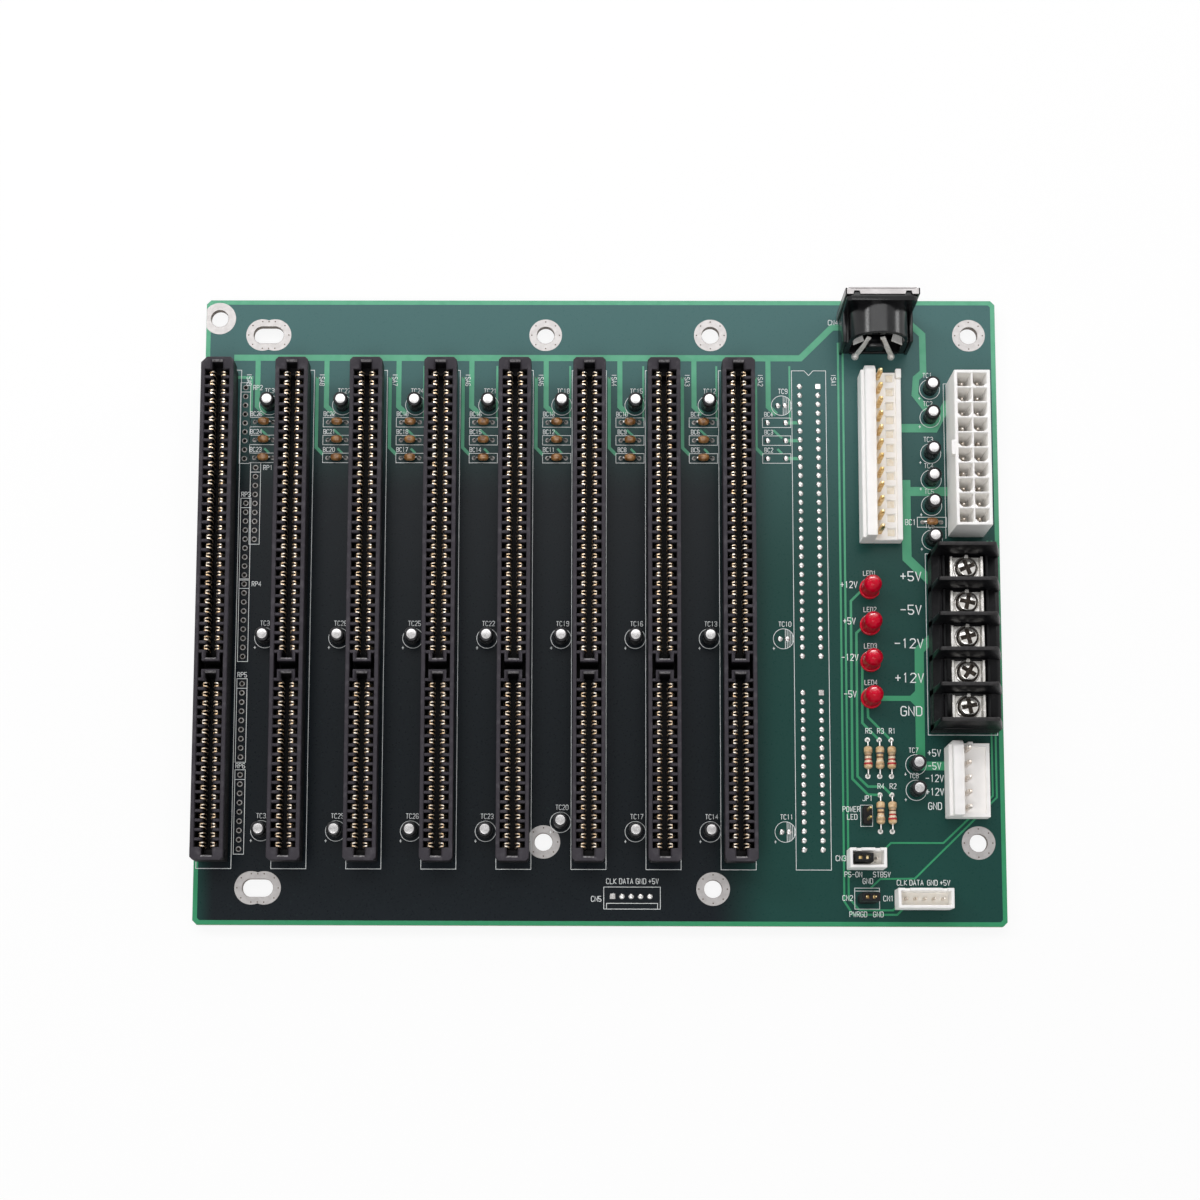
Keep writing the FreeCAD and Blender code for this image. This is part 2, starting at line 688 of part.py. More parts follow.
# Shrouded headers: an open box with two notches in its rear wall and a row of square pins.
def shrouded_header(label, pieces, x, y):
    span = f"((size.{pieces} - 1) * size.shroud_pitch + 2 * size.shroud_end)"
    shell = centred_block(f"{label}_shell", x, y, TOP, span, "size.shroud_depth", "size.shroud_height")
    well = centred_block(f"{label}_well", x, y, f"{TOP} + size.shroud_floor", f"{span} - 2 * size.shroud_wall",
                         "size.shroud_depth - 2 * size.shroud_wall", "size.shroud_height")
    tools = [well]
    for side, sign in (("left", -1), ("right", 1)):
        notch_x = f"{x} + {sign} * ({span} / 2 - size.shroud_end)"
        notch_y = f"{y} + size.shroud_depth / 2 - size.shroud_wall / 2"
        tools.append(centred_block(f"{label}_notch_{side}", notch_x, notch_y,
                                   f"{TOP} + size.shroud_height - size.shroud_notch_depth",
                                   "size.shroud_notch", "size.shroud_wall", "size.shroud_notch_depth"))
    finish(cut(f"{label}_shroud", shell, tools), label)

    pin = centred_block(f"{label}_pin", x, y, f"{TOP} + size.shroud_floor", "size.shroud_pin", "size.shroud_pin",
                        "size.shroud_pin_top - size.shroud_floor")
    middle = (number(f"size.{pieces}") - 1) / 2
    pitch = number("size.shroud_pitch")
    steps = [FreeCAD.Vector((index - middle) * pitch, 0, 0) for index in range(count(pieces))]
    finish(repeated(f"{label}_pin_row", [(pin, steps)]), label.replace("header", "pins"))


# Bare two-pin headers: a square strip with two square pins.
def strip_header(label, x, y, along_y):
    long_side = "2 * size.strip_pitch"
    length = "size.strip_width" if along_y else long_side
    width = long_side if along_y else "size.strip_width"
    finish(centred_block(f"{label}_strip", x, y, TOP, length, width, "size.strip_base"), label)
    pin = centred_block(f"{label}_pin", x, y, f"{TOP} + size.strip_base", "size.strip_pin", "size.strip_pin",
                        "size.strip_pin_top - size.strip_base")
    half = number("size.strip_pitch") / 2
    step = FreeCAD.Vector(0, half, 0) if along_y else FreeCAD.Vector(half, 0, 0)
    finish(repeated(f"{label}_pin_pair", [(pin, [step, -step])]), label.replace("header", "pins"))


# Push-on jumper caps: a small block with two square sockets through it that slip over two pins.
def jumper_cap(label, x, y, z, pitch, pin):
    body = centred_block(f"{label}_block", x, y, z, "size.cap_length", "size.cap_width", "size.cap_height")
    socket = f"{pin} + 2 * size.cap_gap"
    tools = []
    for side, sign in (("left", -1), ("right", 1)):
        tools.append(centred_block(f"{label}_socket_{side}", f"{x} + {sign} * {pitch} / 2", y, z,
                                   socket, socket, "size.cap_height"))
    finish(cut(f"{label}_bored", body, tools), label)


# Indicator lamps: a round lens with a rim at the foot and a domed top.
def indicator_led(index):
    shoulder = "(size.led_height - size.led_radius)"
    bend = "size.led_radius * cos(45 deg)"
    crown = "size.led_radius * cos(75 deg)"
    lamp = stacked_rings(f"led_{index + 1}", 16, [
        ("size.led_rim_radius", "0"), ("size.led_rim_radius", "size.led_rim"),
        ("size.led_radius", "size.led_rim"), ("size.led_radius", shoulder),
        (bend, f"{shoulder} + {bend}"), (crown, "size.led_height"),
    ])
    place(lamp, f"{RIGHT} - size.led_right_inset",
          f"{REAR} - size.led_rear_inset - {index} * size.led_pitch", TOP)
    finish(lamp, f"indicator_led_{index + 1}")


# Resistors: round bodies that lie on the board along Y, three in the rear row and two in the front.
def resistors():
    places = [(0, 0), (1, 0), (2, 0), (1, 1), (2, 1)]
    for index, (column, row) in enumerate(places, start=1):
        body = facets(f"resistor_body_{index}", 8, "size.resistor_radius", "size.resistor_length")
        lying = FreeCAD.Rotation(FreeCAD.Vector(1, 0, 0), -90)
        flat_down = FreeCAD.Rotation(FreeCAD.Vector(0, 0, 1), 180 / 8)
        body.Placement.Rotation = lying * flat_down
        place(body, f"{RIGHT} - size.resistor_right_inset + {column} * size.resistor_pitch",
              f"{FRONT} + size.resistor_front_inset - {row} * size.resistor_row_pitch - size.resistor_length / 2",
              f"{TOP} + size.resistor_radius")
        finish(body, f"resistor_{index}")


# Capacitors: upright cans between the slots and beside the supply headers, and small beads that lie
# across the board in threes behind each slot.
def can_places():
    """Where the cans stand: three rows between the slots, and the supply group."""
    offset = number("size.can_slot_offset")
    columns = [number(slot_x(index)) + offset for index in range(count("slot_count") - 1)]
    rear = number(REAR)
    upper = [(x, rear - number("size.can_upper_inset")) for x in columns]
    middle = [(x, rear - number("size.can_middle_inset")) for x in columns]
    lower = [(x, rear - number("size.can_lower_inset")) for x in columns]
    beside_hole = len(lower) // 2 + 1
    lower[beside_hole] = (lower[beside_hole][0], lower[beside_hole][1] + number("size.can_side_step"))
    side = number(f"{RIGHT} - size.can_supply_inset")
    pair = number(f"{RIGHT} - size.can_pair_inset")
    supply = [(side, rear - inset) for inset in SUPPLY_CAN_REAR]
    supply += [(pair, rear - inset) for inset in SUPPLY_PAIR_REAR]
    return {
        "bus_capacitors_upper": upper,
        "bus_capacitors_middle": middle,
        "bus_capacitors_lower": lower,
        "supply_capacitors": supply,
    }


def capacitors():
    can = place(facets("can", 12, "size.can_radius", "size.can_height"), "0", "0", TOP)
    for label, spots in can_places().items():
        steps = [FreeCAD.Vector(x, y, 0) for x, y in spots]
        finish(repeated(f"{label}_group", [(can, steps)]), label)

    bead = facets("bead", 6, "size.bead_radius", "size.bead_length")
    lying = FreeCAD.Rotation(FreeCAD.Vector(0, 1, 0), 90)
    flat_down = FreeCAD.Rotation(FreeCAD.Vector(0, 0, 1), 180 / 6)
    bead.Placement.Rotation = lying * flat_down
    place(bead, "-size.bead_length / 2", "0", f"{TOP} + size.bead_radius")
    steps = []
    rear = number(REAR)
    for index in range(count("slot_count") - 1):
        x = number(slot_x(index)) + number("size.bead_slot_offset")
        for row in range(3):
            y = rear - number("size.bead_rear_inset") - row * number("size.bead_pitch")
            steps.append(FreeCAD.Vector(x, y, 0))
    steps.append(FreeCAD.Vector(number(f"{RIGHT} - size.bead_supply_inset"), rear - number("size.bead_supply_rear"), 0))
    finish(repeated("beads", [(bead, steps)]), "bypass_capacitors")


# Solder joints: a cone of solder round each trimmed lead, on the underside of the board.
def solder_cone(name, width):
    cone = doc.addObject("Part::Wedge", name)
    tie(cone, Xmin=f"-{width} / 2", Xmax=f"{width} / 2", Zmin=f"-{width} / 2", Zmax=f"{width} / 2",
        X2min="0", X2max="0", Z2min="0", Z2max="0", Ymin="0", Ymax="size.solder_drop")
    cone.Placement.Rotation = FreeCAD.Rotation(FreeCAD.Vector(1, 0, 0), -90)
    return place(cone, "0", "0", UNDERSIDE)


def solder_joints():
    wide = solder_cone("solder_wide_cone", "size.solder_wide")
    small = solder_cone("solder_small_cone", "size.solder_small")
    pins = []
    for piece in finished:
        if piece.Label.endswith("_pins") or piece.Label == "keyboard_socket_lugs":
            pins.extend(piece.Shape.Solids)
    feet = []
    for pin in pins:
        face = min(pin.Faces, key=lambda side: side.CenterOfMass.z)
        feet.append(FreeCAD.Vector(face.CenterOfMass.x, face.CenterOfMass.y, 0))
    clamps = next(piece for piece in finished if piece.Label == "terminal_clamp_plates")
    for clamp in clamps.Shape.Solids:
        feet.append(FreeCAD.Vector(clamp.CenterOfMass.x, clamp.CenterOfMass.y, 0))
    finish(repeated("connector_joints", [(wide, feet)]), "connector_solder_joints")

    half = number("size.can_lead") / 2
    leads = []
    for spots in can_places().values():
        for x, y in spots:
            leads.append(FreeCAD.Vector(x - half, y, 0))
            leads.append(FreeCAD.Vector(x + half, y, 0))
    finish(repeated("capacitor_joints", [(small, leads)]), "capacitor_solder_joints")


circuit_board()
for slot_index in range(count("slot_count")):
    slot_housing(slot_index)
contact_springs()
keyboard_socket()
supply_header("at_power_header", "main_count", "main_inset", "main_rear_inset", True)
supply_header("aux_power_header", "aux_count", "aux_inset", "aux_rear_inset", False)
twin_header()
terminal_block()

KEYBOARD_X = f"{RIGHT} - size.keyboard_right_inset"
KEYBOARD_Y = f"{FRONT} + size.keyboard_front_inset"
SWITCH_X = f"{RIGHT} - size.switch_right_inset"
SWITCH_Y = f"{FRONT} + size.switch_front_inset"
SIGNAL_X = f"{RIGHT} - size.signal_right_inset"
SIGNAL_Y = f"{FRONT} + size.signal_front_inset"
LAMP_X = f"{RIGHT} - size.lamp_right_inset"
LAMP_Y = f"{FRONT} + size.lamp_front_inset"
shrouded_header("keyboard_header", "keyboard_count", KEYBOARD_X, KEYBOARD_Y)
shrouded_header("switch_header", "switch_count", SWITCH_X, SWITCH_Y)
strip_header("signal_header", SIGNAL_X, SIGNAL_Y, False)
strip_header("lamp_header", LAMP_X, LAMP_Y, True)
jumper_cap("switch_jumper_cap", f"{SWITCH_X} - size.shroud_pitch / 2", SWITCH_Y, f"{TOP} + size.shroud_floor",
           "size.shroud_pitch", "size.shroud_pin")
jumper_cap("signal_jumper_cap", SIGNAL_X, SIGNAL_Y, f"{TOP} + size.strip_base",
           "size.strip_pitch", "size.strip_pin")
for led_index in range(count("led_count")):
    indicator_led(led_index)
resistors()
capacitors()
solder_joints()

doc.recompute()
for piece in doc.Objects:
    if "Invalid" in piece.State or "Error" in piece.State:
        raise RuntimeError(f"{piece.Label} did not build: {piece.State}")
for piece in finished:
    if piece.Shape.isNull() or not piece.Shape.isValid():
        raise RuntimeError(f"{piece.Label} has no valid shape")

os.makedirs("parts", exist_ok=True)
for piece in finished:
    piece.Shape.exportStep(f"parts/{piece.Label}.step")
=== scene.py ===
import math
import random

import bmesh
import bpy
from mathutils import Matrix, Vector


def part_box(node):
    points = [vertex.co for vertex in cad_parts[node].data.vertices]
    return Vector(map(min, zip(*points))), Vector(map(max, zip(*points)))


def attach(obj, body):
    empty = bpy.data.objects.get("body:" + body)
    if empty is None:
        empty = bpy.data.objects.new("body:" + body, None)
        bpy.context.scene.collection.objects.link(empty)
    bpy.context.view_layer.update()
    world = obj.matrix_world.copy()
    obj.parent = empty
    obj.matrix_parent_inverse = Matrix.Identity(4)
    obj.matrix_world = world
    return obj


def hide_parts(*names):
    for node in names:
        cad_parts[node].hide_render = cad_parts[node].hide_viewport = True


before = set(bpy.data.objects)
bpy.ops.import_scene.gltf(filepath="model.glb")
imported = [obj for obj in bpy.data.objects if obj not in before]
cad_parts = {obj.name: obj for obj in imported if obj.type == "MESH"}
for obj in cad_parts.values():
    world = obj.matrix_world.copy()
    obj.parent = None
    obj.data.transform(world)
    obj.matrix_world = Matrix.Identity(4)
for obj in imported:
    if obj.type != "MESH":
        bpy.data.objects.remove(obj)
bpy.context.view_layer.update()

# Circuit board
# A 1.6 mm sheet of woven glass and resin, routed to size and drilled, under a glossy green mask.
# Its cut edges stay bare and show the tan laminate. Everything else is pushed through it and soldered.
MM = 0.001


def box_mm(node):
    low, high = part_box(node)
    return low / MM, high / MM


def plan_middle(node):
    """The middle of a CAD node as seen from above, in millimetres."""
    low, high = box_mm(node)
    return (low.x + high.x) / 2, (low.y + high.y) / 2


board_low, board_high = box_mm("circuit_board")
BOARD_TOP = board_high.z
BOARD_UNDER = board_low.z
LEFT_EDGE, RIGHT_EDGE = board_low.x, board_high.x
FRONT_EDGE, REAR_EDGE = board_low.y, board_high.y


def new_finish(name, colour, roughness, metallic=0.0, specular=0.5):
    finish = bpy.data.materials.new(name)
    finish.use_nodes = True
    shader = finish.node_tree.nodes["Principled BSDF"]
    shader.inputs["Base Color"].default_value = (*colour, 1.0)
    shader.inputs["Roughness"].default_value = roughness
    shader.inputs["Metallic"].default_value = metallic
    shader.inputs["Specular IOR Level"].default_value = specular
    return finish


def add_node(finish, kind):
    return finish.node_tree.nodes.new(kind)


def join(finish, source, target):
    finish.node_tree.links.new(source, target)


def shader_socket(finish, name):
    return finish.node_tree.nodes["Principled BSDF"].inputs[name]


def place_on_object(finish):
    """The place of a point on the object, in metres, for patterns that stay put on it."""
    nodes = finish.node_tree.nodes
    place = nodes.get("Texture Coordinate") or nodes.new("ShaderNodeTexCoord")
    return place.outputs["Object"]


def cloud(finish, lump, detail=3.0):
    """Noise from 0 to 1 in lumps of about the given size in millimetres."""
    noise = add_node(finish, "ShaderNodeTexNoise")
    noise.inputs["Scale"].default_value = 1.0 / (lump * MM)
    noise.inputs["Detail"].default_value = detail
    join(finish, place_on_object(finish), noise.inputs["Vector"])
    return noise.outputs[0]


def between(finish, amount, low, high, new_low=0.0, new_high=1.0):
    """Carry an amount from one range smoothly into another, held at both ends."""
    ranger = add_node(finish, "ShaderNodeMapRange")
    ranger.interpolation_type = "SMOOTHSTEP"
    join(finish, amount, ranger.inputs["Value"])
    ends = (("From Min", low), ("From Max", high), ("To Min", new_low), ("To Max", new_high))
    for socket, value in ends:
        ranger.inputs[socket].default_value = value
    return ranger.outputs["Result"]


def worked_out(finish, operation, *amounts):
    """One step of arithmetic on one or two amounts."""
    step = add_node(finish, "ShaderNodeMath")
    step.operation = operation
    for amount, socket in zip(amounts, step.inputs):
        join(finish, amount, socket)
    return step.outputs[0]


def shade_between(finish, amount, first, second):
    """A colour between two others, each a plain colour or another colour's socket."""
    mixer = add_node(finish, "ShaderNodeMix")
    mixer.data_type = "RGBA"
    join(finish, amount, mixer.inputs[0])
    for colour, socket in ((first, mixer.inputs[6]), (second, mixer.inputs[7])):
        if isinstance(colour, tuple):
            socket.default_value = (*colour, 1.0)
        else:
            join(finish, colour, socket)
    return mixer.outputs[2]


def paint(finish, colour):
    join(finish, colour, shader_socket(finish, "Base Color"))


GRAIN_RANGE = (0.3, 0.7)
DRIFT_RANGE = (0.35, 0.65)


def grain(finish, lump, height, roughness):
    """A fine bump of the given lump and height in millimetres, with a roughness that follows it."""
    noise = cloud(finish, lump)
    bump = add_node(finish, "ShaderNodeBump")
    bump.inputs["Distance"].default_value = height * MM
    join(finish, noise, bump.inputs["Height"])
    join(finish, bump.outputs["Normal"], shader_socket(finish, "Normal"))
    join(finish, between(finish, noise, *GRAIN_RANGE, *roughness), shader_socket(finish, "Roughness"))


def drift(finish, lump, dark, pale):
    """Let the colour wander between two shades in lumps of the given size in millimetres."""
    paint(finish, shade_between(finish, between(finish, cloud(finish, lump), *DRIFT_RANGE), dark, pale))


def in_parts(finish, vector):
    """The x, y and z parts of a place or of a direction."""
    parts = add_node(finish, "ShaderNodeSeparateXYZ")
    join(finish, vector, parts.inputs["Vector"])
    return parts.outputs


def place_parts(finish):
    return in_parts(finish, place_on_object(finish))


def facing_parts(finish):
    """The way that the surface faces: z is 1 on top and 0 on an upright wall."""
    return in_parts(finish, add_node(finish, "ShaderNodeNewGeometry").outputs["Normal"])


MASK_FRONT = (0.0080, 0.052, 0.043)
MASK_REAR_LIT = (0.056, 0.138, 0.136)
MASK_FIELD_SHADE = (0.0012, 0.0040, 0.0068)
MASK_FLECK = (0.05, 0.12, 0.10)
LAMINATE_TAN = (0.30, 0.27, 0.13)
# Between which metres the painted shade of the slot field, darkening the mask between the slots, comes in
# from the right, the rear and the left.
FIELD_RIGHT = (0.048, 0.030)
FIELD_REAR = (0.068, 0.029)
FIELD_LEFT = (-0.111, -0.104)
mask = new_finish("green_mask", MASK_FRONT, 0.3, specular=0.14)
across, along, _ = place_parts(mask)
# The mask grows paler and more teal towards the rear: painted light, the rear lamp's reflection in the
# glossy mask.
open_green = shade_between(mask, between(mask, along, 0.0, 0.09), MASK_FRONT, MASK_REAR_LIT)
field_shade = between(mask, across, *FIELD_RIGHT)
for amount, fade in ((along, FIELD_REAR), (across, FIELD_LEFT)):
    field_shade = worked_out(mask, "MULTIPLY", field_shade, between(mask, amount, *fade))
board_green = shade_between(mask, field_shade, open_green, MASK_FIELD_SHADE)
fine_flecks = between(mask, cloud(mask, 0.7), 0.62, 0.8, 0.0, 0.10)
flecked_green = shade_between(mask, fine_flecks, board_green, MASK_FLECK)
level = worked_out(mask, "ABSOLUTE", facing_parts(mask)["Z"])
on_cut_edge = between(mask, level, 0.6, 0.4)
paint(mask, shade_between(mask, on_cut_edge, flecked_green, LAMINATE_TAN))
grain(mask, 0.5, 0.003, (0.27, 0.34))

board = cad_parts["circuit_board"]
board.data.materials.clear()
board.data.materials.append(mask)

# Copper under the mask
# Etched copper runs lie between the laminate and the mask, so they read as paler, slightly raised
# green bands: a border round the edge, the supply bus behind the slots and the runs to each connector.
COPPER_SINK = 0.02
COPPER_RISE = 0.03
COPPER_LAP = 0.0008
BORDER_WIDTH = 1.25
BORDER_INSET = 0.02
BOARD_CORNER = 1.2


def loft(loops, ring=False):
    """A closed skin through loops of equally many points; ring joins the last loop to the first."""
    count = len(loops[0])
    points = [point for loop in loops for point in loop]
    rows = len(loops) if ring else len(loops) - 1
    faces = []
    for row in range(rows):
        start = row * count
        after = (row + 1) % len(loops) * count
        for i in range(count):
            j = (i + 1) % count
            faces.append((start + i, start + j, after + j, after + i))
    if not ring:
        faces.append(tuple(reversed(range(count))))
        faces.append(tuple(range(len(points) - count, len(points))))
    return points, faces


def stacked(levels, ring=False):
    """A closed skin through level outlines, given as (outline, height) pairs."""
    return loft([[(x, y, z) for x, y in outline] for outline, z in levels], ring)


def upright_prism(plan, low, high):
    return stacked([(plan, low), (plan, high)])


def flat_ring(outer, inner, low, high):
    """A flat band between two outlines."""
    return stacked([(outer, low), (outer, high), (inner, high), (inner, low)], ring=True)


def ribbon(path, width, low, high):
    """A flat band along a path on the board, with mitred corners."""
    loops = []
    last = len(path) - 1
    for i, (x, y) in enumerate(path):
        before = Vector(path[i]) - Vector(path[i - 1]) if i > 0 else Vector(path[1]) - Vector(path[0])
        after = Vector(path[i + 1]) - Vector(path[i]) if i < last else before
        before.normalize()
        after.normalize()
        middle = (before + after).normalized() if (before + after).length > 0.01 else before
        side = Vector((-middle.y, middle.x))
        reach = width / 2 / max(0.5, abs(middle.dot(before)))
        left = (x + side.x * reach, y + side.y * reach)
        right = (x - side.x * reach, y - side.y * reach)
        loops.append([(*right, low), (*left, low), (*left, high), (*right, high)])
    return loft(loops)


def moved(shape, x=0.0, y=0.0, z=0.0, turn=0.0):
    """A copy of a shape turned about the upright through its origin and then moved."""
    cos, sin = math.cos(turn), math.sin(turn)
    points, faces = shape
    return [(a * cos - b * sin + x, a * sin + b * cos + y, c + z) for a, b, c in points], faces


def eased(shape, width, steps=1, sharpest=30.0):
    """The shape with its sharp edges broken by a small bevel, as moulded and pressed pieces have."""
    points, faces = shape
    work = bmesh.new()
    corners = [work.verts.new(point) for point in points]
    for face in faces:
        work.faces.new([corners[i] for i in face])
    bmesh.ops.remove_doubles(work, verts=work.verts[:], dist=0.0005)
    bmesh.ops.recalc_face_normals(work, faces=work.faces[:])
    bmesh.ops.dissolve_limit(work, angle_limit=0.01, verts=work.verts[:], edges=work.edges[:])
    sharp = [edge for edge in work.edges if edge.calc_face_angle(0.0) > math.radians(sharpest)]
    bmesh.ops.bevel(work, geom=sharp, offset=width, segments=steps, profile=0.5, affect="EDGES",
                    clamp_overlap=True)
    work.verts.index_update()
    shape = ([tuple(v.co) for v in work.verts], [tuple(v.index for v in f.verts) for f in work.faces])
    work.free()
    return shape


def seat(name, made_of, stands_for=(), crease=38.0):
    """Make one piece from (finish, shapes) pairs in millimetres and fix it to the board's body."""
    points, faces, finish_of = [], [], []
    mesh = bpy.data.meshes.new(name)
    for index, (finish, shapes) in enumerate(made_of):
        mesh.materials.append(finish)
        for shape_points, shape_faces in shapes:
            start = len(points)
            points.extend(shape_points)
            faces.extend([tuple(start + i for i in face) for face in shape_faces])
            finish_of.extend([index] * len(shape_faces))
    mesh.from_pydata([(x * MM, y * MM, z * MM) for x, y, z in points], [], faces)
    mesh.polygons.foreach_set("material_index", finish_of)
    outward = bmesh.new()
    outward.from_mesh(mesh)
    bmesh.ops.recalc_face_normals(outward, faces=outward.faces[:])
    outward.to_mesh(mesh)
    outward.free()
    mesh.shade_smooth()
    mesh.set_sharp_from_angle(angle=math.radians(crease))
    piece = bpy.data.objects.new(name, mesh)
    bpy.context.scene.collection.objects.link(piece)
    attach(piece, "root")
    if stands_for:
        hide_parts(*stands_for)


COPPER_FRONT = (0.038, 0.275, 0.125)
COPPER_REAR_LIT = (0.125, 0.410, 0.255)
COPPER_PATCH = (0.06, 0.30, 0.17)
copper_green = new_finish("mask_over_copper", COPPER_FRONT, 0.32, specular=0.14)
_, along, _ = place_parts(copper_green)
# The copper runs grow paler towards the rear: painted light, as on the mask.
toward_rear = between(copper_green, along, -0.07, 0.085)
copper_painted_light = shade_between(copper_green, toward_rear, COPPER_FRONT, COPPER_REAR_LIT)
copper_patches = between(copper_green, cloud(copper_green, 3.0), 0.4, 0.7, 0.0, 0.3)
paint(copper_green, shade_between(copper_green, copper_patches, copper_painted_light, COPPER_PATCH))
grain(copper_green, 0.6, 0.006, (0.28, 0.36))

SLOT_PITCH = 20.32
SLOT_COUNT = 8
first_slot_low, first_slot_high = box_mm("isa_slot_1")
FIRST_SLOT_X, _ = plan_middle("isa_slot_1")
SLOT_X = [FIRST_SLOT_X + SLOT_PITCH * i for i in range(SLOT_COUNT)]
EMPTY_SLOT_X = FIRST_SLOT_X + SLOT_PITCH * SLOT_COUNT
BEAD_Y = [52.4, 47.3, 42.2]
LAMP_X = 74.1
LAMP_Y = [5.4 - 10.16 * i for i in range(4)]
VIA_Y = 65.2
VIA_STEP = 5.55
FIRST_VIA_X = SLOT_X[0] + 7.6
BUS_Y = 70.9
BUS_WIDTH = 1.75
BRANCH_X = [-95.3, -76.1, -56.0, -35.7, -15.0, 5.5, 26.1, 46.7]
BRANCH_WIDTH = 1.4
BEAD_WIDTH = 0.6
BEAD_FEED_WIDTH = 0.9
KEYBOARD_WIDTH = 0.55
LAMP_WIDTH = 0.65
SIGNAL_WIDTH = 0.5

# The supply bus, its branches to the slots and the runs of the capacitors between them.
runs = [([(-102.0, BUS_Y), (55.7, BUS_Y), (64.6, 79.8), (67.0, 79.8)], BUS_WIDTH)]
for x in BRANCH_X:
    runs.append(([(x, BUS_Y), (x, 57.0), (x + 2.2, 54.8)], BRANCH_WIDTH))
for x in SLOT_X:
    runs.append(([(x + 15.0, 68.6), (x + 15.0, 53.0)], SIGNAL_WIDTH))
    runs.append(([(x + 10.4, 50.3), (x + 12.8, 48.0)], BEAD_WIDTH))
    runs.append(([(x + 11.5, 44.9), (x + 12.8, 43.6)], BEAD_WIDTH))
for x in SLOT_X[1:]:
    runs.append(([(x + VIA_STEP, 65.4), (x + VIA_STEP, 45.2), (x + 7.5, 43.2)], BEAD_FEED_WIDTH))
runs.append(([(SLOT_X[0] + 3.0, VIA_Y), (FIRST_VIA_X, VIA_Y), (FIRST_VIA_X, 55.3)], 0.8))
for y in BEAD_Y:
    runs.append(([(51.6, y), (EMPTY_SLOT_X - 2.6, y)], BEAD_FEED_WIDTH))
# The two long runs from the keyboard socket to the front header.
runs += [(path, KEYBOARD_WIDTH) for path in (
    [(66.2, 75.4), (66.1, -80.7), (68.4, -84.3), (80.3, -84.3), (82.0, -82.6)],
    [(67.5, 75.4), (67.3, -79.7), (70.2, -83.1), (79.2, -83.1), (80.6, -81.7)],
)]
# Lamps to their resistors.
runs += [(path, LAMP_WIDTH) for path in (
    [(72.6, 5.4), (72.0, 5.1), (68.9, 2.0), (68.7, -47.3), (72.9, -51.6), (76.1, -51.7)],
    [(72.6, -4.8), (70.3, -6.9), (70.1, -46.6), (72.9, -49.4), (77.0, -49.4), (79.3, -51.7)],
    [(72.8, -14.9), (71.8, -15.6), (71.6, -31.9), (76.1, -36.6)],
    [(73.1, -26.8), (73.2, -30.3), (79.3, -36.6)],
)]
# Supply runs between the headers, the capacitors and the terminal block, each with a width of its own.
runs += [
    ([(86.0, 81.1), (89.7, 77.7), (89.8, 66.9), (87.8, 65.2), (87.4, 60.5), (90.6, 56.2)], 1.8),
    ([(82.0, 50.9), (92.6, 50.9), (96.2, 57.6), (98.0, 57.6)], 2.4),
    ([(82.0, 34.9), (84.5, 34.9), (84.5, 14.0), (93.0, 5.5)], 2.5),
    ([(83.3, 32.9), (97.0, 32.9)], 2.5),
    ([(94.5, -4.9), (87.4, -11.7), (87.3, -42.6)], 2.5),
    ([(86.0, -43.7), (95.0, -43.7)], 2.4),
    ([(LAMP_X, LAMP_Y[3]), (87.3, LAMP_Y[3])], 1.4),
    ([(84.9, LAMP_Y[3]), (87.4, LAMP_Y[3] + 2.5)], 1.2),
    ([(84.9, LAMP_Y[3]), (87.4, LAMP_Y[3] - 2.5)], 1.2),
]
# Signal runs down the right side and across to the small headers.
runs += [(path, SIGNAL_WIDTH) for path in (
    [(106.7, 19.0), (106.7, -51.9), (93.1, -64.8), (78.9, -64.8), (76.4, -67.3)],
    [(107.8, 19.0), (107.8, -52.3), (85.2, -74.5), (75.9, -74.6), (73.2, -77.1)],
)]

copper_low = BOARD_TOP - COPPER_SINK
copper_high = BOARD_TOP + COPPER_RISE
copper_shapes = []
for index, (path, width) in enumerate(runs):
    copper_shapes.append(ribbon(path, width, copper_low, copper_high + COPPER_LAP * (index + 1)))


def cut_rectangle(left, right, front, rear, corner):
    """A rectangle with its corners cut off."""
    return [
        (left + corner, front), (right - corner, front), (right, front + corner), (right, rear - corner),
        (right - corner, rear), (left + corner, rear), (left, rear - corner), (left, front + corner),
    ]


rims = []
for inset, corner in ((BORDER_INSET, BOARD_CORNER), (BORDER_WIDTH, BOARD_CORNER / 2)):
    rims.append(cut_rectangle(LEFT_EDGE + inset, RIGHT_EDGE - inset, FRONT_EDGE + inset, REAR_EDGE - inset,
                              corner))
copper_shapes.append(flat_ring(*rims, copper_low, copper_high))
copper_shapes.append(flat_ring(*rims, BOARD_UNDER - COPPER_RISE, BOARD_UNDER + COPPER_SINK))
seat("copper_runs", [(copper_green, copper_shapes)])

# Tinned screw rings
# Round and slotted screw holes are plated through and left free of mask, so the frame's screws
# earth the board: a flat tinned ring on both faces, with small stitching holes drawn as dark discs of
# painted shade, and a plated wall.
RING_RISE = 0.06
RING_SINK = 0.01
RING_RADIUS = 4.55
RING_SIDES = 48
HOLE_RADIUS = 2.5
PLATING = 0.06
PLATING_LAP = 0.005
EDGE_INSET = 0.05
STITCH_CIRCLE = 3.85
STITCH_RADIUS = 0.2
STITCH_RISE = RING_RISE + 0.012
STITCH_SIDES = 10
ROUND_HOLES = [
    (-15.2, 77.47), (102.6, 77.47), (102.6, -64.77), (-15.2, -64.77), (30.7, 77.47), (30.7, -77.47),
]
CORNER_HOLE = (-106.3, 82.2)
SLOTTED_HOLES = [(-92.5, 77.47), (-92.5, -77.47)]
SLOTTED_HALF_RUN = 1.75


def on_circle(radius, angle, x=0.0, y=0.0):
    return x + radius * math.cos(angle), y + radius * math.sin(angle)


def turned(profile, sides):
    """A turned solid about the upright: (radius, height) pairs from one end to the other."""
    turns = [2 * math.pi * i / sides for i in range(sides)]
    return stacked([([on_circle(radius, a) for a in turns], height) for radius, height in profile])


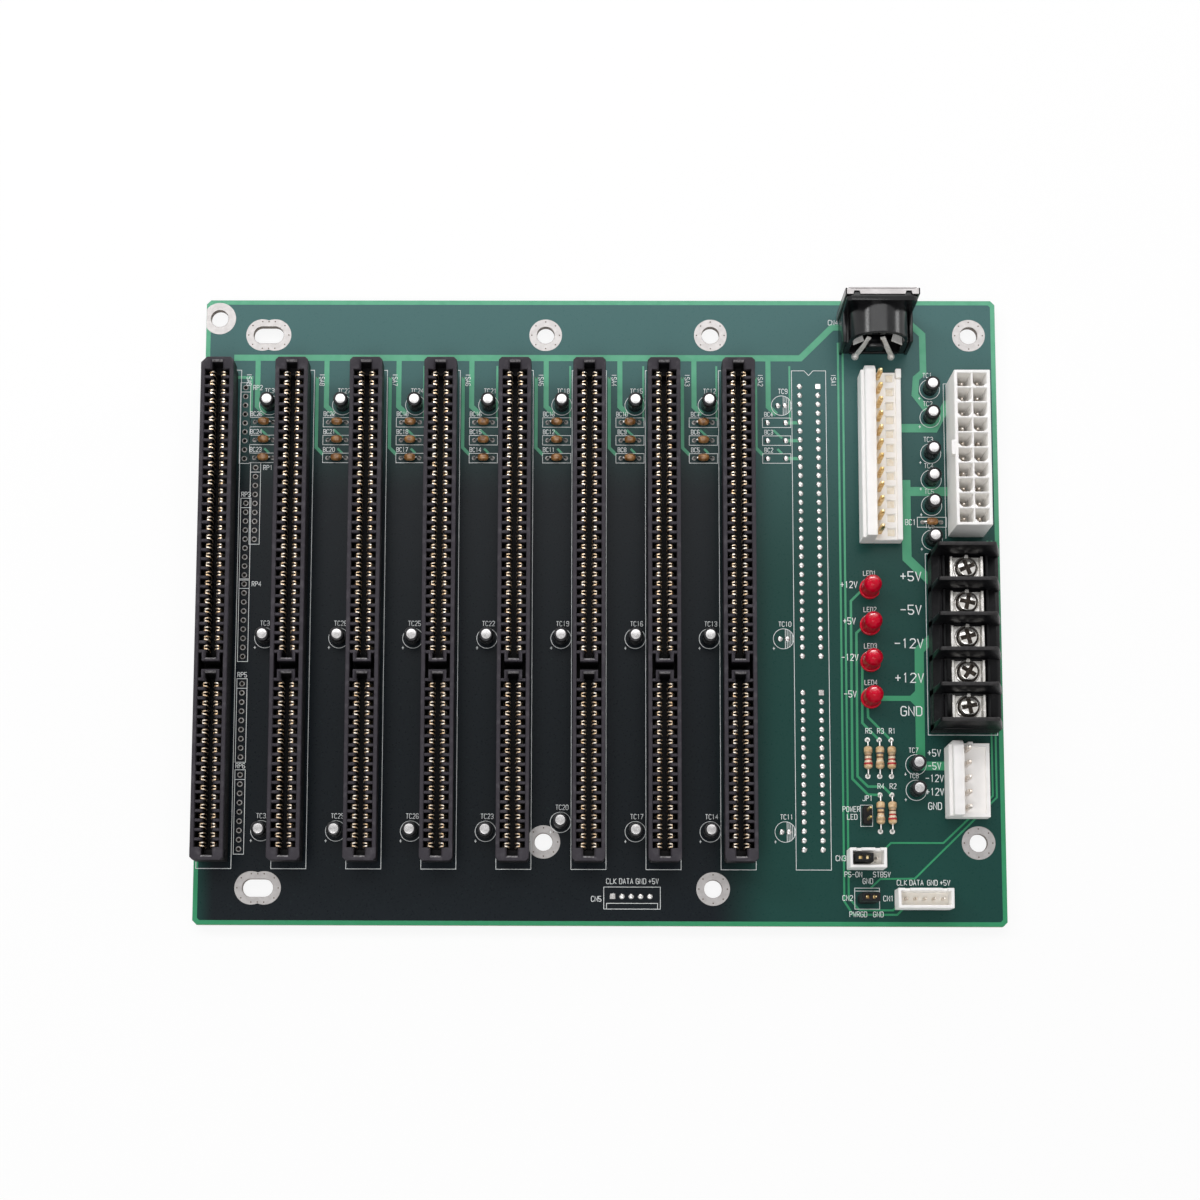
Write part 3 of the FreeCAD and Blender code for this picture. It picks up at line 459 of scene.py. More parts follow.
def hole_outline(x, y, radius, half_run, waisted=False):
    """A circle drawn out by half_run to either side; a waisted one is two circles that overlap."""
    lean = math.acos(min(1.0, half_run / radius)) if waisted else math.pi / 2
    reach = math.pi - lean
    points = []
    for centre, middle in ((half_run, 0.0), (-half_run, math.pi)):
        for i in range(RING_SIDES // 2 + 1):
            angle = middle - reach + 2 * reach * i / (RING_SIDES // 2)
            px, py = on_circle(radius, angle, x + centre, y)
            points.append((max(px, LEFT_EDGE + EDGE_INSET), py))
    return points


def plated_ring(x, y, half_run):
    """An eyelet: a ring on each face of the board and the plated wall of the hole between them."""
    top, under = BOARD_TOP + RING_RISE, BOARD_UNDER - RING_RISE
    outer = hole_outline(x, y, RING_RADIUS, half_run, waisted=half_run > 0)
    inner = hole_outline(x, y, HOLE_RADIUS, half_run)
    rings = [flat_ring(outer, inner, BOARD_TOP - RING_SINK, top)]
    rings.append(flat_ring(outer, inner, BOARD_UNDER + RING_SINK, under))
    wall = hole_outline(x, y, HOLE_RADIUS + PLATING_LAP, half_run)
    bore = hole_outline(x, y, HOLE_RADIUS - PLATING, half_run)
    levels = [(wall, BOARD_UNDER), (wall, BOARD_TOP), (bore, top - RING_SINK), (bore, under + RING_SINK)]
    return rings, stacked(levels, ring=True)


tin = new_finish("tinned_ring", (0.33, 0.315, 0.31), 0.36, metallic=0.75)
drift(tin, 1.6, (0.31, 0.295, 0.29), (0.35, 0.335, 0.33))
grain(tin, 0.35, 0.007, (0.32, 0.40))
# The plated wall of the bore is painted dark brown: painted shade inside the hole.
bore_plating_shade = new_finish("hole_plating_shade", (0.12, 0.085, 0.06), 0.5)
drift(bore_plating_shade, 0.6, (0.07, 0.05, 0.035), (0.22, 0.17, 0.13))
# The stitching holes and vias are dark discs on the surface: painted shade, not open holes.
stitch_shade = new_finish("stitch_hole_shade", (0.06, 0.04, 0.03), 0.7)
drift(stitch_shade, 0.2, (0.04, 0.025, 0.015), (0.10, 0.06, 0.04))

ring_shapes, barrel_shapes = [], []
eyelets = [(x, y, 0.0) for x, y in ROUND_HOLES + [CORNER_HOLE]]
eyelets += [(x, y, SLOTTED_HALF_RUN) for x, y in SLOTTED_HOLES]
for eyelet in eyelets:
    rings, barrel = plated_ring(*eyelet)
    ring_shapes += rings
    barrel_shapes.append(barrel)
stitch_places = [on_circle(STITCH_CIRCLE, math.pi / 4 * i, x, y) for x, y in ROUND_HOLES for i in range(8)]
for x, y in SLOTTED_HOLES:
    for side in (-1, 1):
        for i in range(5):
            angle = math.pi / 2 * (1 - side) + math.pi / 4 * (i - 2)
            stitch_places.append(on_circle(STITCH_CIRCLE, angle, x + side * SLOTTED_HALF_RUN, y))
        stitch_places.append((x, y + side * STITCH_CIRCLE))
stitch_places += [(x + VIA_STEP, VIA_Y) for x in SLOT_X[1:]]
stitch_places.append((FIRST_VIA_X, VIA_Y))
stitch = turned([(STITCH_RADIUS, BOARD_TOP), (STITCH_RADIUS, BOARD_TOP + STITCH_RISE)], STITCH_SIDES)
seat("screw_rings", [
    (tin, ring_shapes), (bore_plating_shade, barrel_shapes),
    (stitch_shade, [moved(stitch, x, y) for x, y in stitch_places]),
])

# Printing
# White epoxy ink screened on over the mask: outlines of the parts, polarity marks, plain designators
# and the supply voltages beside the lamps, the terminal block and the headers.
INK_LOW = BOARD_TOP - 0.01
INK_HIGH = BOARD_TOP + 0.095
INK_LAP = 0.002
INK_LINE = 0.145
INK_RING_SIDES = 36
# Each letter's strokes on a grid of 4 by 6: column and row of each point, with a comma between strokes.
STROKES = {
    "0": "10 01 05 16 36 45 41 30 10", "1": "15 26 20", "2": "05 16 36 45 44 00 40",
    "3": "05 16 36 45 44 33 13,33 42 41 30 10 01", "4": "30 36 02 42", "5": "46 06 03 33 42 41 30 10 01",
    "6": "45 36 16 05 01 10 30 41 42 33 03", "7": "06 46 10",
    "8": "13 04 05 16 36 45 44 33 13 02 01 10 30 41 42 33",
    "9": "01 10 30 41 45 36 16 05 04 13 43", "+": "03 43,21 25", "-": "03 43", "V": "06 20 46",
    "G": "45 36 16 05 01 10 30 41 43 23", "N": "00 06 40 46", "D": "00 06 36 45 41 30 00",
    "C": "45 36 16 05 01 10 30 41", "R": "00 06 36 45 44 33 03,23 40", "L": "06 00 40",
    "E": "46 06 00 40,03 33",
    "J": "46 41 30 10 01", "P": "00 06 36 45 44 33 03", "K": "00 06,46 03 40", "T": "06 46,26 20",
    "A": "00 26 40,12 32", "I": "20 26", "S": "45 36 16 05 04 13 33 42 41 30 10 01",
    "B": "00 06 36 45 44 33 03,33 42 41 30 00", "O": "10 01 05 16 36 45 41 30 10", "W": "06 10 24 30 46",
}
LETTER_GRID = 6.0
LETTER_STEP = 5.7
LETTER_GAP = 1.8
LETTER_NARROW = 0.74
STROKE_SHARE = 0.115
STROKE_LEAST = 0.15


def lettering(words, x, y, height, turn=0.0, narrow=LETTER_NARROW):
    """Stroke letters centred on a point of the board, each stroke a ribbon of ink."""
    unit = height / LETTER_GRID
    width = max(STROKE_LEAST, height * STROKE_SHARE)
    start = -(LETTER_STEP * len(words) - LETTER_GAP) / 2
    shapes = []
    for index, letter in enumerate(words):
        left = start + index * LETTER_STEP
        for layer, stroke in enumerate(STROKES[letter].split(",")):
            marks = [(int(column), int(row)) for column, row in stroke.split()]
            path = [((left + a) * unit * narrow, (b - LETTER_GRID / 2) * unit) for a, b in marks]
            line = ribbon(path, width, INK_LOW, INK_HIGH + INK_LAP * layer)
            shapes.append(moved(line, x, y, 0.0, turn))
    return shapes


def rectangle(left, right, front, rear):
    return [(left, front), (right, front), (right, rear), (left, rear)]


def ink_frame(left, front, right, rear):
    """A printed rectangle."""
    half = INK_LINE / 2
    outer = rectangle(left - half, right + half, front - half, rear + half)
    inner = rectangle(left + half, right - half, front + half, rear - half)
    return flat_ring(outer, inner, INK_LOW, INK_HIGH)


def ring_about(x, y, section, sides):
    """A ring about an upright line, from its section of (radius, height) points."""
    turns = [2 * math.pi * i / sides for i in range(sides)]
    return loft([[(*on_circle(r, a, x, y), z) for r, z in section] for a in turns], ring=True)


def ink_ring(x, y, radius):
    """A printed circle."""
    inner, outer = radius - INK_LINE / 2, radius + INK_LINE / 2
    section = [(inner, INK_LOW), (outer, INK_LOW), (outer, INK_HIGH), (inner, INK_HIGH)]
    return ring_about(x, y, section, INK_RING_SIDES)


def ink_line(*path):
    return ribbon(list(path), INK_LINE, INK_LOW, INK_HIGH)


ink = new_finish("printing_ink", (0.86, 0.88, 0.88), 0.6)
drift(ink, 0.5, (0.78, 0.81, 0.81), (0.90, 0.92, 0.92))
grain(ink, 0.15, 0.006, (0.5, 0.7))

SIGN_HEIGHT = 1.2
NAME_HEIGHT = 1.3
LABEL_HEIGHT = 1.4
LONE_BEAD_HEIGHT = 1.5
LAMP_SIGN_HEIGHT = 1.75
AUX_SIGN_HEIGHT = 1.85
TERMINAL_SIGN_HEIGHT = 2.5
TERMINAL_SIGN_NARROW = 0.88
OUTLINE_HALF = 4.75
OUTLINE_NOTCH = 1.25
OUTLINE_NOTCH_DEPTH = 1.35
OUTLINE_REAR = first_slot_high.y + 0.2
OUTLINE_FRONT = first_slot_low.y - 1.2
CAN_X_STEP = 12.7
CAN_Y = {"upper": 57.3, "middle": -8.6, "lower": -61.9}
CAN_ROWS = len(CAN_Y)
CAN_RING = 2.8
HATCH_STEP = 0.5
STEPPED_COLUMN = 4
STEPPED_Y = -59.4
SUPPLY_CANS = [(91.5, y) for y in (62.0, 53.9, 43.7, 36.2, 28.9, 19.2)] + [(86.0, -43.4), (86.0, -50.4)]
BEAD_X_STEP = 11.3
SUPPLY_BEAD = (91.5, 24.2)
PACK_HOLES = 9
PACK_PITCH = 2.54
PACK_HALF = 1.4
NAME_BESIDE = (3.4, 0.0)
NAME_ABOVE = (0.0, 2.5)
PACK_FOOTPRINTS = [
    ("RP2", -98.6, 62.3, NAME_BESIDE), ("RP1", -95.4, 39.4, NAME_BESIDE), ("RP3", -97.9, 29.3, NAME_ABOVE),
    ("RP4", -97.9, 6.5, NAME_BESIDE), ("RP5", -97.9, -21.4, NAME_ABOVE), ("RP6", -97.9, -46.6, NAME_ABOVE),
]
bus_cans = []
for column, x in enumerate(SLOT_X):
    for row, y in CAN_Y.items():
        stepped = row == "lower" and column == STEPPED_COLUMN
        bus_cans.append((row, x + CAN_X_STEP, STEPPED_Y if stepped else y))
fitted_cans, bare_cans = bus_cans[:-CAN_ROWS], bus_cans[-CAN_ROWS:]

printed = []
for index, x in enumerate(SLOT_X + [EMPTY_SLOT_X]):
    left, right = x - OUTLINE_HALF, x + OUTLINE_HALF
    notch_left = (x - OUTLINE_NOTCH, OUTLINE_REAR)
    printed.append(ink_line(
        notch_left, (x, OUTLINE_REAR - OUTLINE_NOTCH_DEPTH), (x + OUTLINE_NOTCH, OUTLINE_REAR),
        (right, OUTLINE_REAR), (right, OUTLINE_FRONT), (left, OUTLINE_FRONT), (left, OUTLINE_REAR),
        notch_left,
    ))
    printed += lettering(f"ISA{SLOT_COUNT + 1 - index}", x + 6.9, 64.6, NAME_HEIGHT, -math.pi / 2)
for index, (_, x, y) in enumerate(bus_cans):
    column, row = divmod(index, CAN_ROWS)
    number = len(SUPPLY_CANS) + 1 + CAN_ROWS * (SLOT_COUNT - 1 - column) + row
    printed.append(ink_ring(x, y, CAN_RING))
    printed += lettering(f"TC{number}", x + 0.4, y + 4.1, NAME_HEIGHT)
    printed += lettering("+", x - 2.7, y - 2.7, SIGN_HEIGHT)
for _, x, y in bare_cans:
    for i in range(1, 6):
        aside = HATCH_STEP * i
        reach = math.sqrt(CAN_RING ** 2 - aside ** 2) - 0.1
        printed.append(ink_line((x + aside, y - reach), (x + aside, y + reach)))
for index, (x, y) in enumerate(SUPPLY_CANS):
    printed.append(ink_ring(x, y, CAN_RING))
    printed += lettering("+", x - 2.9, y - 2.6, SIGN_HEIGHT)
    printed += lettering(f"TC{index + 1}", x - 0.6, y + 4.0, NAME_HEIGHT)
for index, slot_x in enumerate(SLOT_X):
    x = slot_x + BEAD_X_STEP
    for row, y in enumerate(BEAD_Y):
        number = len(BEAD_Y) * (SLOT_COUNT - index) + 1 - row
        printed.append(ink_frame(x - 3.9, y - 1.35, x + 3.9, y + 1.35))
        printed += lettering(f"BC{number}", x - 2.2, y + 2.4, SIGN_HEIGHT)
x, y = SUPPLY_BEAD
printed.append(ink_frame(x - 4.0, y - 1.4, x + 4.0, y + 1.4))
printed += lettering("BC1", x - 5.9, y, LONE_BEAD_HEIGHT)
for words, x, y, (aside, above) in PACK_FOOTPRINTS:
    last_hole = y - PACK_PITCH * (PACK_HOLES - 1)
    printed.append(ink_frame(x - PACK_HALF, last_hole - PACK_HALF, x + PACK_HALF, y + PACK_HALF))
    printed.append(ink_line((x - PACK_HALF, y - PACK_PITCH / 2), (x + PACK_HALF, y - PACK_PITCH / 2)))
    printed += lettering(words, x + aside, y + above, NAME_HEIGHT)
for words, y in zip(("+12V", "+5V", "-12V", "-5V"), LAMP_Y):
    printed += lettering(words, 68.4, y + 1.2, LAMP_SIGN_HEIGHT)
for index, y in enumerate(LAMP_Y):
    printed += lettering(f"LED{index + 1}", LAMP_X, y + 4.4, NAME_HEIGHT)
for words, x, y in (("+5V", 85.4, 9.0), ("-5V", 85.3, -0.4), ("-12V", 84.6, -9.8), ("+12V", 84.6, -19.4),
                    ("GND", 85.0, -28.6)):
    printed += lettering(words, x, y, TERMINAL_SIGN_HEIGHT, narrow=TERMINAL_SIGN_NARROW)
for words, y in (("+5V", -40.1), ("-5V", -43.7), ("-12V", -47.1), ("+12V", -50.8), ("GND", -54.7)):
    printed += lettering(words, 91.0, y, AUX_SIGN_HEIGHT)
for words, x, y in (("R5", 73.3, -34.1), ("R3", 76.5, -34.1), ("R1", 79.7, -34.1), ("R4", 76.4, -49.3),
                    ("R2", 79.7, -49.3), ("JP1", 72.7, -52.6), ("POWER", 68.3, -55.6), ("LED", 68.5, -57.7),
                    ("CN3", 65.3, -69.0), ("PS-ON", 68.6, -73.4), ("GND", 72.5, -75.2),
                    ("STB5V", 76.3, -73.4), ("CN2", 67.0, -79.8), ("CN1", 78.0, -79.9), ("CLK", 81.7, -75.6),
                    ("DATA", 85.6, -75.6), ("GND", 89.9, -75.6), ("+5V", 93.3, -75.6),
                    ("PWRGD", 69.8, -84.2), ("GND", 75.2, -84.2), ("CN4", 64.9, 81.2), ("CLK", 3.2, -75.4),
                    ("DATA", 7.2, -75.4), ("GND", 11.2, -75.4), ("+5V", 14.6, -75.4), ("CN5", -0.9, -80.2)):
    printed += lettering(words, x, y, LABEL_HEIGHT)
# Outlines of the terminal block, the twenty-way header, the small headers and the empty one.
printed += [
    ink_frame(89.5, -35.2, 108.4, 15.3),
    ink_line((95.3, 63.6), (95.3, 19.6)),
    ink_line((95.3, 63.6), (97.0, 63.6)),
    ink_frame(68.9, -82.8, 75.6, -77.1),
    ink_line((68.9, -77.9), (75.6, -77.9)),
    ink_frame(70.8, -60.3, 74.0, -54.5),
    ink_frame(1.16, -82.95, 16.43, -76.98),
    ink_line((1.9, -82.95), (1.9, -81.4), (15.7, -81.4), (15.7, -82.95)),
]
seat("printing", [(ink, printed)])

# Bare footprints
# Places that carry no part: a ninth slot, a small header, six capacitors and six resistor packs. The packs'
# holes are open, each drawn as a dark disc of painted shade. The others were filled when the board went
# over the solder wave.
PAD_SIDES = 14
PAD_SINK = 0.01
PAD_HALF = 0.75
FIRST_ROW_Y = 62.8
CONTACT_PITCH = 2.54
LONG_BANK = 31
SHORT_BANK = 18
KEY_GAP = 10.16
ROW_Y = [FIRST_ROW_Y - CONTACT_PITCH * i for i in range(LONG_BANK)]
ROW_Y += [ROW_Y[-1] - KEY_GAP - CONTACT_PITCH * i for i in range(SHORT_BANK)]
SLOT_LEAD = 2.54
CAN_LEAD = 1.0
BEAD_LEAD = 2.54
BARE_HEADER = [(3.54 + 2.52 * i, -79.47) for i in range(5)]
OPEN_RING = (0.5, 0.76)
OPEN_HOLE = 0.52

solder = new_finish("bright_solder", (0.48, 0.47, 0.46), 0.22, metallic=1.0)
drift(solder, 1.2, (0.38, 0.37, 0.36), (0.54, 0.53, 0.52))
grain(solder, 0.5, 0.008, (0.18, 0.30))
dull_tin = new_finish("dull_pad", (0.28, 0.27, 0.26), 0.5, metallic=0.5)
drift(dull_tin, 0.5, (0.17, 0.16, 0.15), (0.40, 0.38, 0.37))
grain(dull_tin, 0.3, 0.01, (0.42, 0.6))
hole_shade = new_finish("open_hole_shade", (0.01, 0.01, 0.01), 0.8, specular=0.0)
drift(hole_shade, 0.3, (0.006, 0.006, 0.006), (0.02, 0.018, 0.015))

filled_pad = turned([(0.78, BOARD_TOP - PAD_SINK), (0.78, BOARD_TOP + 0.05), (0.64, BOARD_TOP + 0.2),
                     (0.42, BOARD_TOP + 0.3), (0.14, BOARD_TOP + 0.32)], PAD_SIDES)
square_plan = rectangle(-PAD_HALF, PAD_HALF, -PAD_HALF, PAD_HALF)
square_pad = eased(upright_prism(square_plan, BOARD_TOP - PAD_SINK, BOARD_TOP + 0.16), 0.12)


def pad_ring(x, y, inner, outer):
    """A flat tinned ring round an open hole."""
    low = BOARD_TOP - PAD_SINK
    section = [(inner, low), (outer, low), (outer, BOARD_TOP + 0.06), (inner, BOARD_TOP + 0.08)]
    return ring_about(x, y, section, PAD_SIDES)


pads = []
for side in (-1, 1):
    for index, y in enumerate(ROW_Y):
        squared = side > 0 and index in (0, LONG_BANK)
        pads.append(moved(square_pad if squared else filled_pad, EMPTY_SLOT_X + side * SLOT_LEAD, y))
for index, (x, y) in enumerate(BARE_HEADER):
    pads.append(moved(square_pad if index == 0 else filled_pad, x, y))
bare_leads = [(x, y, CAN_LEAD) for _, x, y in bare_cans]
bare_leads += [(SLOT_X[-1] + BEAD_X_STEP, y, BEAD_LEAD) for y in BEAD_Y]
for x, y, reach in bare_leads:
    pads += [moved(filled_pad, x + side * reach, y) for side in (-1, 1)]
pack_holes = [(x, y - PACK_PITCH * i) for _, x, y, _ in PACK_FOOTPRINTS for i in range(PACK_HOLES)]
open_rings = [pad_ring(x, y, *OPEN_RING) for x, y in pack_holes]
# Each open hole is a thin near-black disc on the board: painted shade.
hole_disc = turned([(OPEN_HOLE, BOARD_TOP), (OPEN_HOLE, BOARD_TOP + 0.03)], PAD_SIDES)
open_holes = [moved(hole_disc, x, y) for x, y in pack_holes]
seat("bare_pads", [(solder, pads), (dull_tin, open_rings), (hole_shade, open_holes)])

# Card slots
# One-piece charcoal mouldings pressed on to the board: a T-shaped trough with a rib between every two
# contacts, a bevelled card mouth in each end block and two short guide walls either side of the key.
SLOT_TOP = first_slot_high.z
SLOT_HALF = (first_slot_high.x - first_slot_low.x) / 2
SLOT_REAR, SLOT_FRONT = first_slot_high.y, first_slot_low.y
FOOT_HALF = 3.85
FOOT_TOP = BOARD_TOP + 6.0
FOOT_SETBACK = 0.6
CHAMBER_HALF = 3.35
CHAMBER_FLOOR = BOARD_TOP + 2.0
MOUTH_HALF = 1.45
MOUTH_REACH = 3.0
MOUTH_BEVEL = 0.5
MOUTH_BEVEL_DEPTH = 0.7
RIB_THICK = 0.78
RIB_DROP = 0.3
RIB_REACH = 1.2
RIB_SLOPE = 0.55
END_CORNER = 0.8
GUIDE_WALL = 0.95
WALL_INSET = 0.012
RIM_FADE_LOW = 2.2
RIM_FADE_HIGH = 0.15
FIRST_SLOT_CUT = 1.6

charcoal = new_finish("slot_charcoal", (0.038, 0.034, 0.043), 0.5, specular=0.14)
# Scuffed lighter near the rim from wear; below the rim the colour fades to near black down into the trough:
# painted shade in the chamber.
scuffs = between(charcoal, cloud(charcoal, 2.5, 6.0), 0.5, 0.75, 0.0, 0.6)
scuffed = shade_between(charcoal, scuffs, (0.036, 0.032, 0.039), (0.085, 0.078, 0.088))
_, _, upward = place_parts(charcoal)
rim_wear_and_depth_shade = between(charcoal, upward, (SLOT_TOP - RIM_FADE_LOW) * MM, (SLOT_TOP - RIM_FADE_HIGH) * MM)
paint(charcoal, shade_between(charcoal, rim_wear_and_depth_shade, (0.0055, 0.005, 0.006), scuffed))
grain(charcoal, 0.25, 0.02, (0.42, 0.6))
# Pale charcoal on the mouths' bevels: painted highlight.
bevel_highlight = new_finish("charcoal_bevel_highlight", (0.20, 0.19, 0.20), 0.4)
drift(bevel_highlight, 0.6, (0.09, 0.085, 0.09), (0.28, 0.27, 0.28))


def along_y(section, start, end):
    """A bar of constant section, given as (x, z) points."""
    return loft([[(x, y, z) for x, z in section] for y in (start, end)])


def along_x(section, start, end):
    """A bar of constant section, given as (y, z) points."""
    return loft([[(x, y, z) for y, z in section] for x in (start, end)])


def brick(x_one, x_two, y_one, y_two, z_low, z_high):
    """A rectangular block between two places each way."""
    return upright_prism(rectangle(*sorted((x_one, x_two)), *sorted((y_one, y_two))), z_low, z_high)


def brick_about(x, y, half_x, half_y, z_low, z_high):
    """A rectangular block about an upright line."""
    return brick(x - half_x, x + half_x, y - half_y, y + half_y, z_low, z_high)


def mouth_block(outer, start, end, low):
    """A U-shaped block round a card mouth, whose top edges fall away in a bevel."""
    way = 1 if end > start else -1

    def with_mouth(half, reach):
        return outer + [(-half, start), (-half, reach), (half, reach), (half, start)]
    narrow = with_mouth(MOUTH_HALF, end)
    wide = with_mouth(MOUTH_HALF + MOUTH_BEVEL, end + way * MOUTH_BEVEL)
    return stacked([(narrow, low), (narrow, SLOT_TOP - MOUTH_BEVEL_DEPTH), (wide, SLOT_TOP)])


def highlight_sliver(outer_row, way):
    """A thin pale sliver on the bevel at the end of a card mouth: a painted highlight of the lit bevel."""
    shoulder = SLOT_TOP - MOUTH_BEVEL_DEPTH
    mouth_end = outer_row + way * MOUTH_REACH
    bevel_end = mouth_end + way * MOUTH_BEVEL
    section = [(mouth_end, shoulder + 0.1), (mouth_end, shoulder + 0.14),
               (bevel_end - way * 0.06, SLOT_TOP - 0.02), (bevel_end, SLOT_TOP - 0.06)]
    return along_x(section, -MOUTH_HALF, MOUTH_HALF)


def end_block(end, outer_row, corner_cuts):
    """One end of the slot, with its outer corners cut by the given amounts."""
    way = 1 if end > outer_row else -1
    inner = outer_row + way * (CONTACT_PITCH / 2 - RIB_THICK / 2)
    left_cut, right_cut = corner_cuts
    outer = [(SLOT_HALF, inner), (SLOT_HALF, end - way * right_cut), (SLOT_HALF - right_cut, end),
             (-SLOT_HALF + left_cut, end), (-SLOT_HALF, end - way * left_cut), (-SLOT_HALF, inner)]
    head = mouth_block(outer, inner, outer_row + way * MOUTH_REACH, FOOT_TOP)
    foot = brick(-FOOT_HALF, FOOT_HALF, inner, end - way * FOOT_SETBACK, BOARD_TOP, FOOT_TOP)
    return [eased(head, 0.12), eased(foot, 0.15)]


def slot_shapes(rear_cuts):
    """One slot about x = 0: trough walls, floor, ribs, guides and end blocks."""
    shapes = end_block(SLOT_REAR, ROW_Y[0], rear_cuts)
    shapes += end_block(SLOT_FRONT, ROW_Y[-1], (END_CORNER, END_CORNER))
    rear, front = ROW_Y[0] + CONTACT_PITCH / 2, ROW_Y[-1] - CONTACT_PITCH / 2
    wall_low, wall_top = CHAMBER_FLOOR - 0.5, SLOT_TOP - WALL_INSET
    wall_out, foot_out = SLOT_HALF - WALL_INSET, FOOT_HALF - WALL_INSET
    wall = [(CHAMBER_HALF, wall_low), (CHAMBER_HALF, wall_top), (wall_out, wall_top),
            (wall_out, FOOT_TOP + 0.3), (foot_out, FOOT_TOP - 0.2), (foot_out, wall_low)]
    for side in (-1, 1):
        shapes.append(eased(along_y([(side * x, z) for x, z in wall], front, rear), 0.14))
    shapes.append(brick(-FOOT_HALF, FOOT_HALF, front, rear, BOARD_TOP, CHAMBER_FLOOR))
    rib_top, rib_root = SLOT_TOP - RIB_DROP, CHAMBER_HALF + 0.1
    rib = [(rib_root, rib_top), (RIB_REACH + RIB_SLOPE, rib_top), (RIB_REACH, rib_top - 0.9),
           (RIB_REACH, CHAMBER_FLOOR), (rib_root, CHAMBER_FLOOR)]
    rib_rows = [(a + b) / 2 for a, b in zip(ROW_Y, ROW_Y[1:]) if a - b < KEY_GAP - 1]
    key_rear = ROW_Y[LONG_BANK - 1] - CONTACT_PITCH / 2
    key_front = ROW_Y[LONG_BANK] + CONTACT_PITCH / 2
    rib_rows += [key_rear, key_front]
    for side in (-1, 1):
        one_rib = eased(along_y([(side * x, z) for x, z in rib], -RIB_THICK / 2, RIB_THICK / 2), 0.08)
        shapes += [moved(one_rib, 0.0, y) for y in rib_rows]
    guide_half = MOUTH_HALF + GUIDE_WALL
    for bank_end, way in ((key_rear, -1), (key_front, 1)):
        mouth_end = bank_end + way * (MOUTH_REACH - CONTACT_PITCH / 2)
        guide_end = mouth_end + way * GUIDE_WALL
        outer = [(guide_half, bank_end), (guide_half, guide_end), (-guide_half, guide_end),
                 (-guide_half, bank_end)]
        shapes.append(eased(mouth_block(outer, bank_end, mouth_end, CHAMBER_FLOOR), 0.08))
    return shapes


mouth_ends = ((ROW_Y[0], 1), (ROW_Y[-1], -1), (ROW_Y[LONG_BANK - 1], -1), (ROW_Y[LONG_BANK], 1))
lips = [highlight_sliver(outer_row, way) for outer_row, way in mouth_ends]
plain_slot = slot_shapes((END_CORNER, END_CORNER))
cut_slot = slot_shapes((FIRST_SLOT_CUT, END_CORNER))
for index, x in enumerate(SLOT_X):
    shapes = [moved(shape, x) for shape in (cut_slot if index == 0 else plain_slot)]
    highlight_shapes = [moved(lip, x) for lip in lips]
    seat(f"card_slot_{index + 1}", [(charcoal, shapes), (bevel_highlight, highlight_shapes)],
         [f"isa_slot_{index + 1}"])

# Slot contacts
# Gold-plated bronze springs, stamped and pushed up into the slot from below: a flat blade against the
# chamber wall that folds over at the top into two prongs, which press on the card's edge.
BLADE_THICK = 0.22
BLADE_HALF = 0.52
PRONG_GAP = 0.2
PRONG_SPLAY = 0.32
BLADE_LINE = [(2.75, CHAMBER_FLOOR), (2.75, 10.6), (2.62, 12.0), (2.36, 12.9), (1.95, 13.3)]
PRONG_LINE = [(1.95, 13.3), (1.5, 13.42), (1.1, 13.2), (0.82, 12.6), (0.72, 11.7), (0.95, 9.8)]

gold = new_finish("contact_gold", (0.93, 0.78, 0.58), 0.3, metallic=1.0)
drift(gold, 0.6, (0.76, 0.53, 0.31), (0.99, 0.93, 0.84))
grain(gold, 0.2, 0.008, (0.24, 0.4))


def bent_strip(line, y_low, y_high, thick, splay=0.0):
    """Sheet metal bent along a line of (x, z) points, between two places along y; splay turns it aside."""
    loops = []
    for i, (x, z) in enumerate(line):
        start = Vector(line[max(i - 1, 0)])
        end = Vector(line[min(i + 1, len(line) - 1)])
        run = (end - start).normalized()
        off = Vector((-run.y, run.x)) * thick / 2
        aside = splay * i / (len(line) - 1)
        near, far = y_low + aside, y_high + aside
        loops.append([(x - off.x, near, z - off.y), (x + off.x, near, z + off.y),
                      (x + off.x, far, z + off.y), (x - off.x, far, z - off.y)])
    return loft(loops)


spring = [bent_strip(BLADE_LINE, -BLADE_HALF, BLADE_HALF, BLADE_THICK)]
spring.append(bent_strip(PRONG_LINE, -BLADE_HALF, -PRONG_GAP, BLADE_THICK, -PRONG_SPLAY))
spring.append(bent_strip(PRONG_LINE, PRONG_GAP, BLADE_HALF, BLADE_THICK, PRONG_SPLAY))
for index, x in enumerate(SLOT_X):
    shapes = []
    for y in ROW_Y:
        for turn in (0.0, math.pi):
            shapes += [moved(part, x, y, 0.0, turn) for part in spring]
    seat(f"slot_springs_{index + 1}", [(gold, shapes)], [f"slot_contacts_{index + 1}"])

# Keyboard socket
# A black moulded body with a round barrel over the plug's core, two side cheeks on the board and a flange
# under the shield. Its back is open below the barrel, where the pins come out and bend down.
socket_low, socket_high = box_mm("keyboard_socket_body")
shield_low, shield_high = box_mm("keyboard_socket_shield")
SOCKET_X, _ = plan_middle("keyboard_socket_body")
SOCKET_HALF = socket_high.x - SOCKET_X
SOCKET_AXIS = BOARD_TOP + 10.0
SOCKET_BACK, SOCKET_FACE = socket_low.y, socket_high.y
BARREL_RADIUS = 8.0
BARREL_END = shield_high.y - 3.4
BARREL_LAP = 0.2
BARREL_STEPS = 56
LINER_EASE = 0.05
ARCH_RADIUS = 6.8
ARCH_EASE = 0.3
ARCH_DIP = 0.12
RECESS_END = SOCKET_BACK + 3.2
SHELF_TOP = BOARD_TOP + 10.5
CHEEK_THICK = 1.0
PLUG_RADIUS = 7.0
CORE_RADIUS = 5.6
CORE_MIDDLE = 0.02
PLATE_STEPS = 48
PIN_CIRCLE = 3.6
